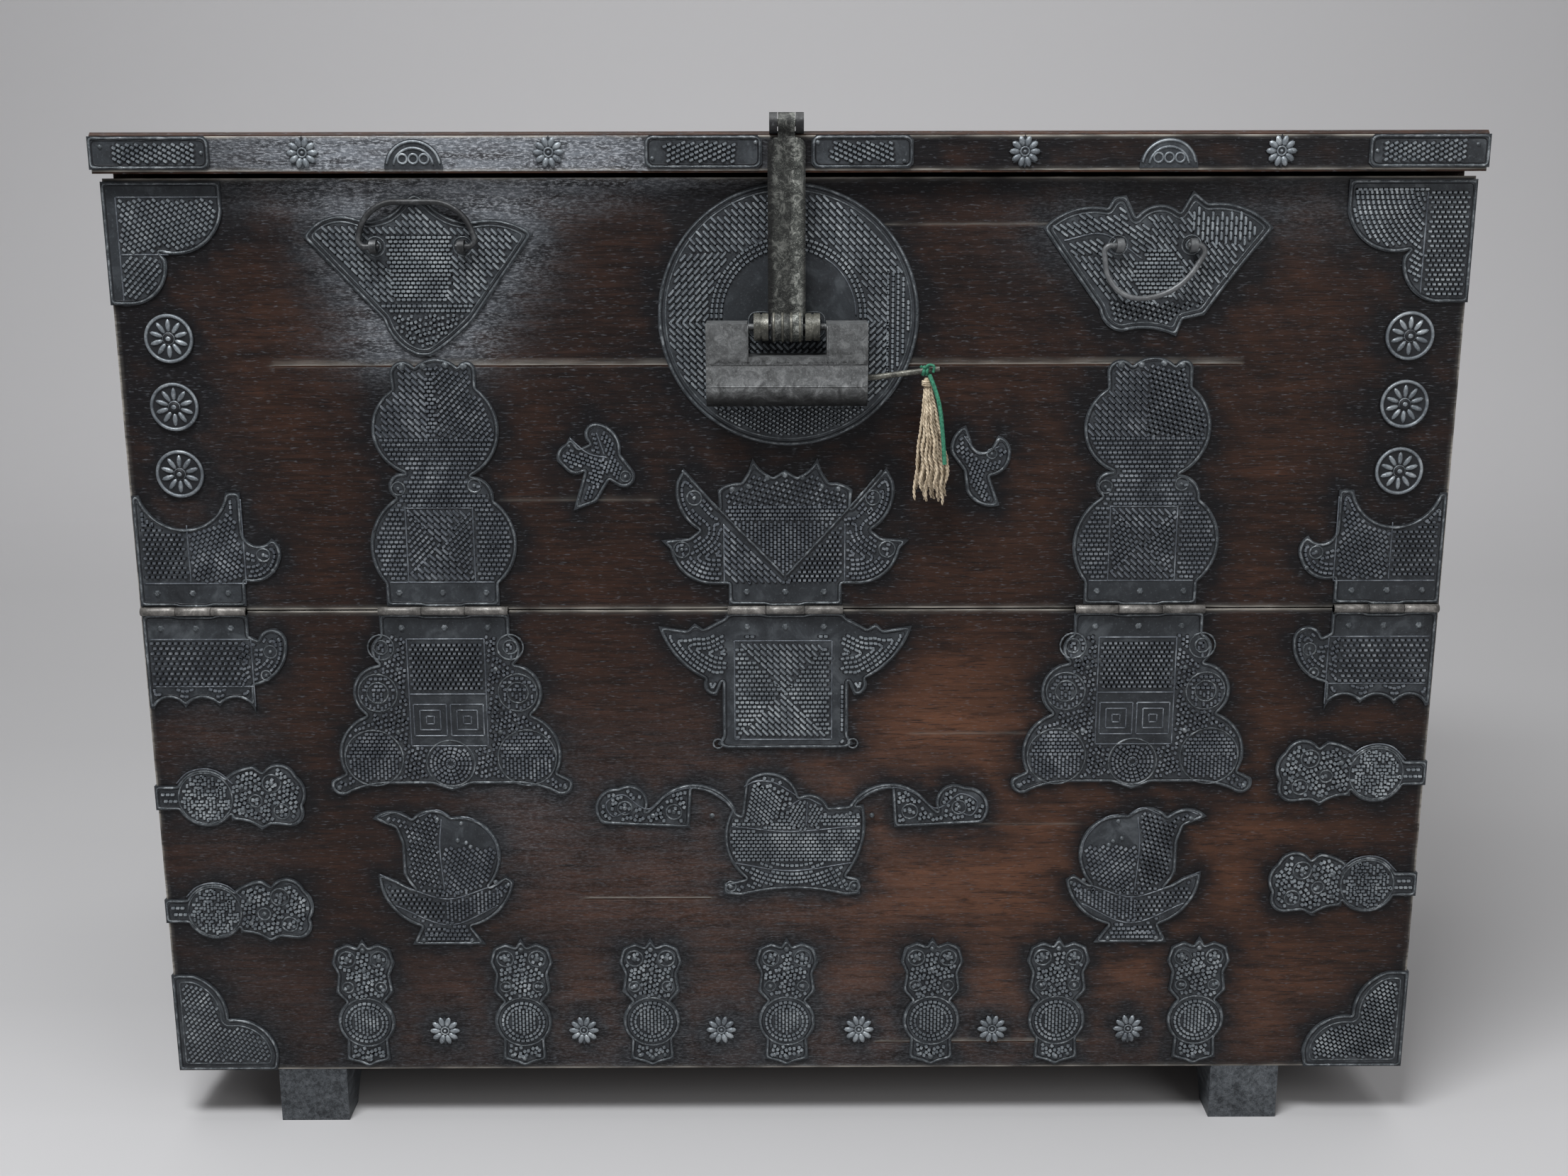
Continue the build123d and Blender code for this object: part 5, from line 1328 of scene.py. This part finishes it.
def skin(name, body, x0, x1, z0, z1, y, seams=(), step=4.0):
    """Face of a board, 0.15 mm in front of it, with its edges turned back; a seam is (z, x0, x1, depth)."""
    xs = cut(x0, x1, step)
    zs = cut(z0, z1, step, [seam[0] for seam in seams])
    x, z = np.meshgrid(xs, zs, indexing="ij")
    depth = np.zeros(x.shape)
    wear = np.zeros(x.shape)
    for i, (at, a, b, deep) in enumerate(seams):
        along = np.clip((x - a) / 6, 0, 1) * np.clip((b - x) / 6, 0, 1)
        along *= np.clip(0.75 + 0.5 * wobble(x, i + 1), 0, 1)
        depth += deep * along * np.exp(-((z - at) / 0.45) ** 2)
        wear = np.maximum(wear, along * np.exp(-((z - at - 0.7) / 0.8) ** 2) * min(deep, 1.0))
    border = np.minimum(np.minimum(x - x0, x1 - x), np.minimum(z - z0, z1 - z))
    wear = np.maximum(wear, 0.75 * np.exp(-(border / 1.1) ** 2) * np.clip(0.7 + 0.6 * wobble(x + z, 5), 0, 1))
    out = 0.15 - depth - 0.12 * np.exp(-(border / 0.5) ** 2)
    points = np.stack([x, y - out, z], -1).reshape(-1, 3)
    number = np.arange(len(points)).reshape(x.shape)
    corners = (number[:-1, :-1], number[1:, :-1], number[1:, 1:], number[:-1, 1:])
    faces = np.stack(corners, -1).reshape(-1, 4).tolist()
    edge = np.concatenate([number[:, 0], number[-1, 1:], number[-2::-1, -1], number[0, -2:0:-1]])
    turned = len(points) + np.arange(len(edge))
    faces += np.stack([edge, turned, np.roll(turned, -1), np.roll(edge, -1)], 1).tolist()
    faces.append(turned.tolist())
    mesh = Mesh()
    mesh.add(np.vstack([points, points[edge] + (0, 0.6, 0)]), faces)
    made = mesh.make(name, body, WOOD, "front_wood")
    shares = darkening_and_spots(points[:, 0], points[:, 2], border.reshape(-1))
    shares["wear"] = wear.reshape(-1)
    for key, share in shares.items():
        layer = made.data.attributes.new(key, "FLOAT", "POINT")
        layer.data.foreach_set("value", np.concatenate([share, share[edge]]).astype(np.float32))


skin("door_face", "door", -EDGE, EDGE, DOOR_BOTTOM, DOOR_TOP, FRONT,
     ((560.0, -350, 305, 0.9), (652.0, 60, 200, 0.25), (468.0, -200, -90, 0.2)))
skin("lower_face", "case", -EDGE, EDGE, BODY_BOTTOM, LOWER_TOP, FRONT,
     ((176.0, -150, -55, 1.0), (62.0, 60, 215, 0.8), (232.0, 130, 210, 0.2), (300.0, 80, 190, 0.2)))
skin("top_edge_face", "case", TOP_LOW[0], TOP_HIGH[0], TOP_LOW[2] + 1.2, TOP_HIGH[2] - 2.6, TOP_Y, step=3.0)


# ---- stage and light ----
WALL_Y = 3.0                              # metres behind the chest's middle
SWEEP = 0.9                               # radius of the bend between floor and wall
# darker just behind the chest as painted shade, and lighter towards the wall as painted light that makes up
# for the lamps' weaker light there
STAGE_GREYS = (                           # (share of the way back, grey)
    (0.03, 0.50), (0.09, 0.43), (0.20, 0.41), (0.30, 0.42),
    (0.40, 0.46), (0.56, 0.55), (0.73, 0.70), (0.89, 0.73))


def make_stage():
    """Floor that sweeps up into a wall behind the chest."""
    bend = [i * math.pi / 24 for i in range(13)]
    profile = [(-6.0, 0.0)]
    profile += [(WALL_Y - SWEEP + SWEEP * math.sin(a), SWEEP - SWEEP * math.cos(a)) for a in bend]
    profile.append((WALL_Y, 5.0))
    points = [(x, y, z) for y, z in profile for x in (-7.0, 7.0)]
    faces = [(2 * i, 2 * i + 1, 2 * i + 3, 2 * i + 2) for i in range(len(profile) - 1)]
    data = bpy.data.meshes.new("backdrop")
    data.from_pydata(points, [], faces)
    data.polygons.foreach_set("use_smooth", [True] * len(faces))
    s = Shader("backdrop")
    depth = s.node("ShaderNodeMapRange", {"Value": s.axis("Y"), "From Min": -0.3, "From Max": WALL_Y})
    grey = s.ramp(depth.outputs["Result"], *[(at, (g, 0.99 * g, g)) for at, g in STAGE_GREYS])
    data.materials.append(s.finish(grey, 0.9, 0.0, 0.1))
    add_object("backdrop", data)


def area_light(name, at, aim, size, watts, colour=(1, 1, 1)):
    data = bpy.data.lights.new(name, "AREA")
    data.shape = "RECTANGLE"
    data.size, data.size_y = size
    data.energy = watts
    data.color = colour
    light = add_object(name, data)
    light.location = at
    direction = Vector(aim) - Vector(at)
    light.rotation_euler = direction.to_track_quat("-Z", "Y").to_euler()


make_stage()
area_light("key", (-0.5, -1.15, 2.3), (-0.05, -0.25, 0.35), (1.0, 0.5), 54.0, (0.97, 0.985, 1.0))
area_light("fill", (1.5, -2.0, 1.5), (0.1, 0, 0.4), (1.4, 1.4), 14.0)
area_light("top", (0.0, 0.3, 2.8), (0, 0.2, 0), (3.0, 1.4), 36.0)
world = bpy.data.worlds.new("world")
world.use_nodes = True
background = world.node_tree.nodes["Background"]
background.inputs["Color"].default_value = (0.5, 0.5, 0.51, 1)
background.inputs["Strength"].default_value = 0.42
bpy.context.scene.world = world
bpy.context.scene.view_settings.view_transform = "Standard"
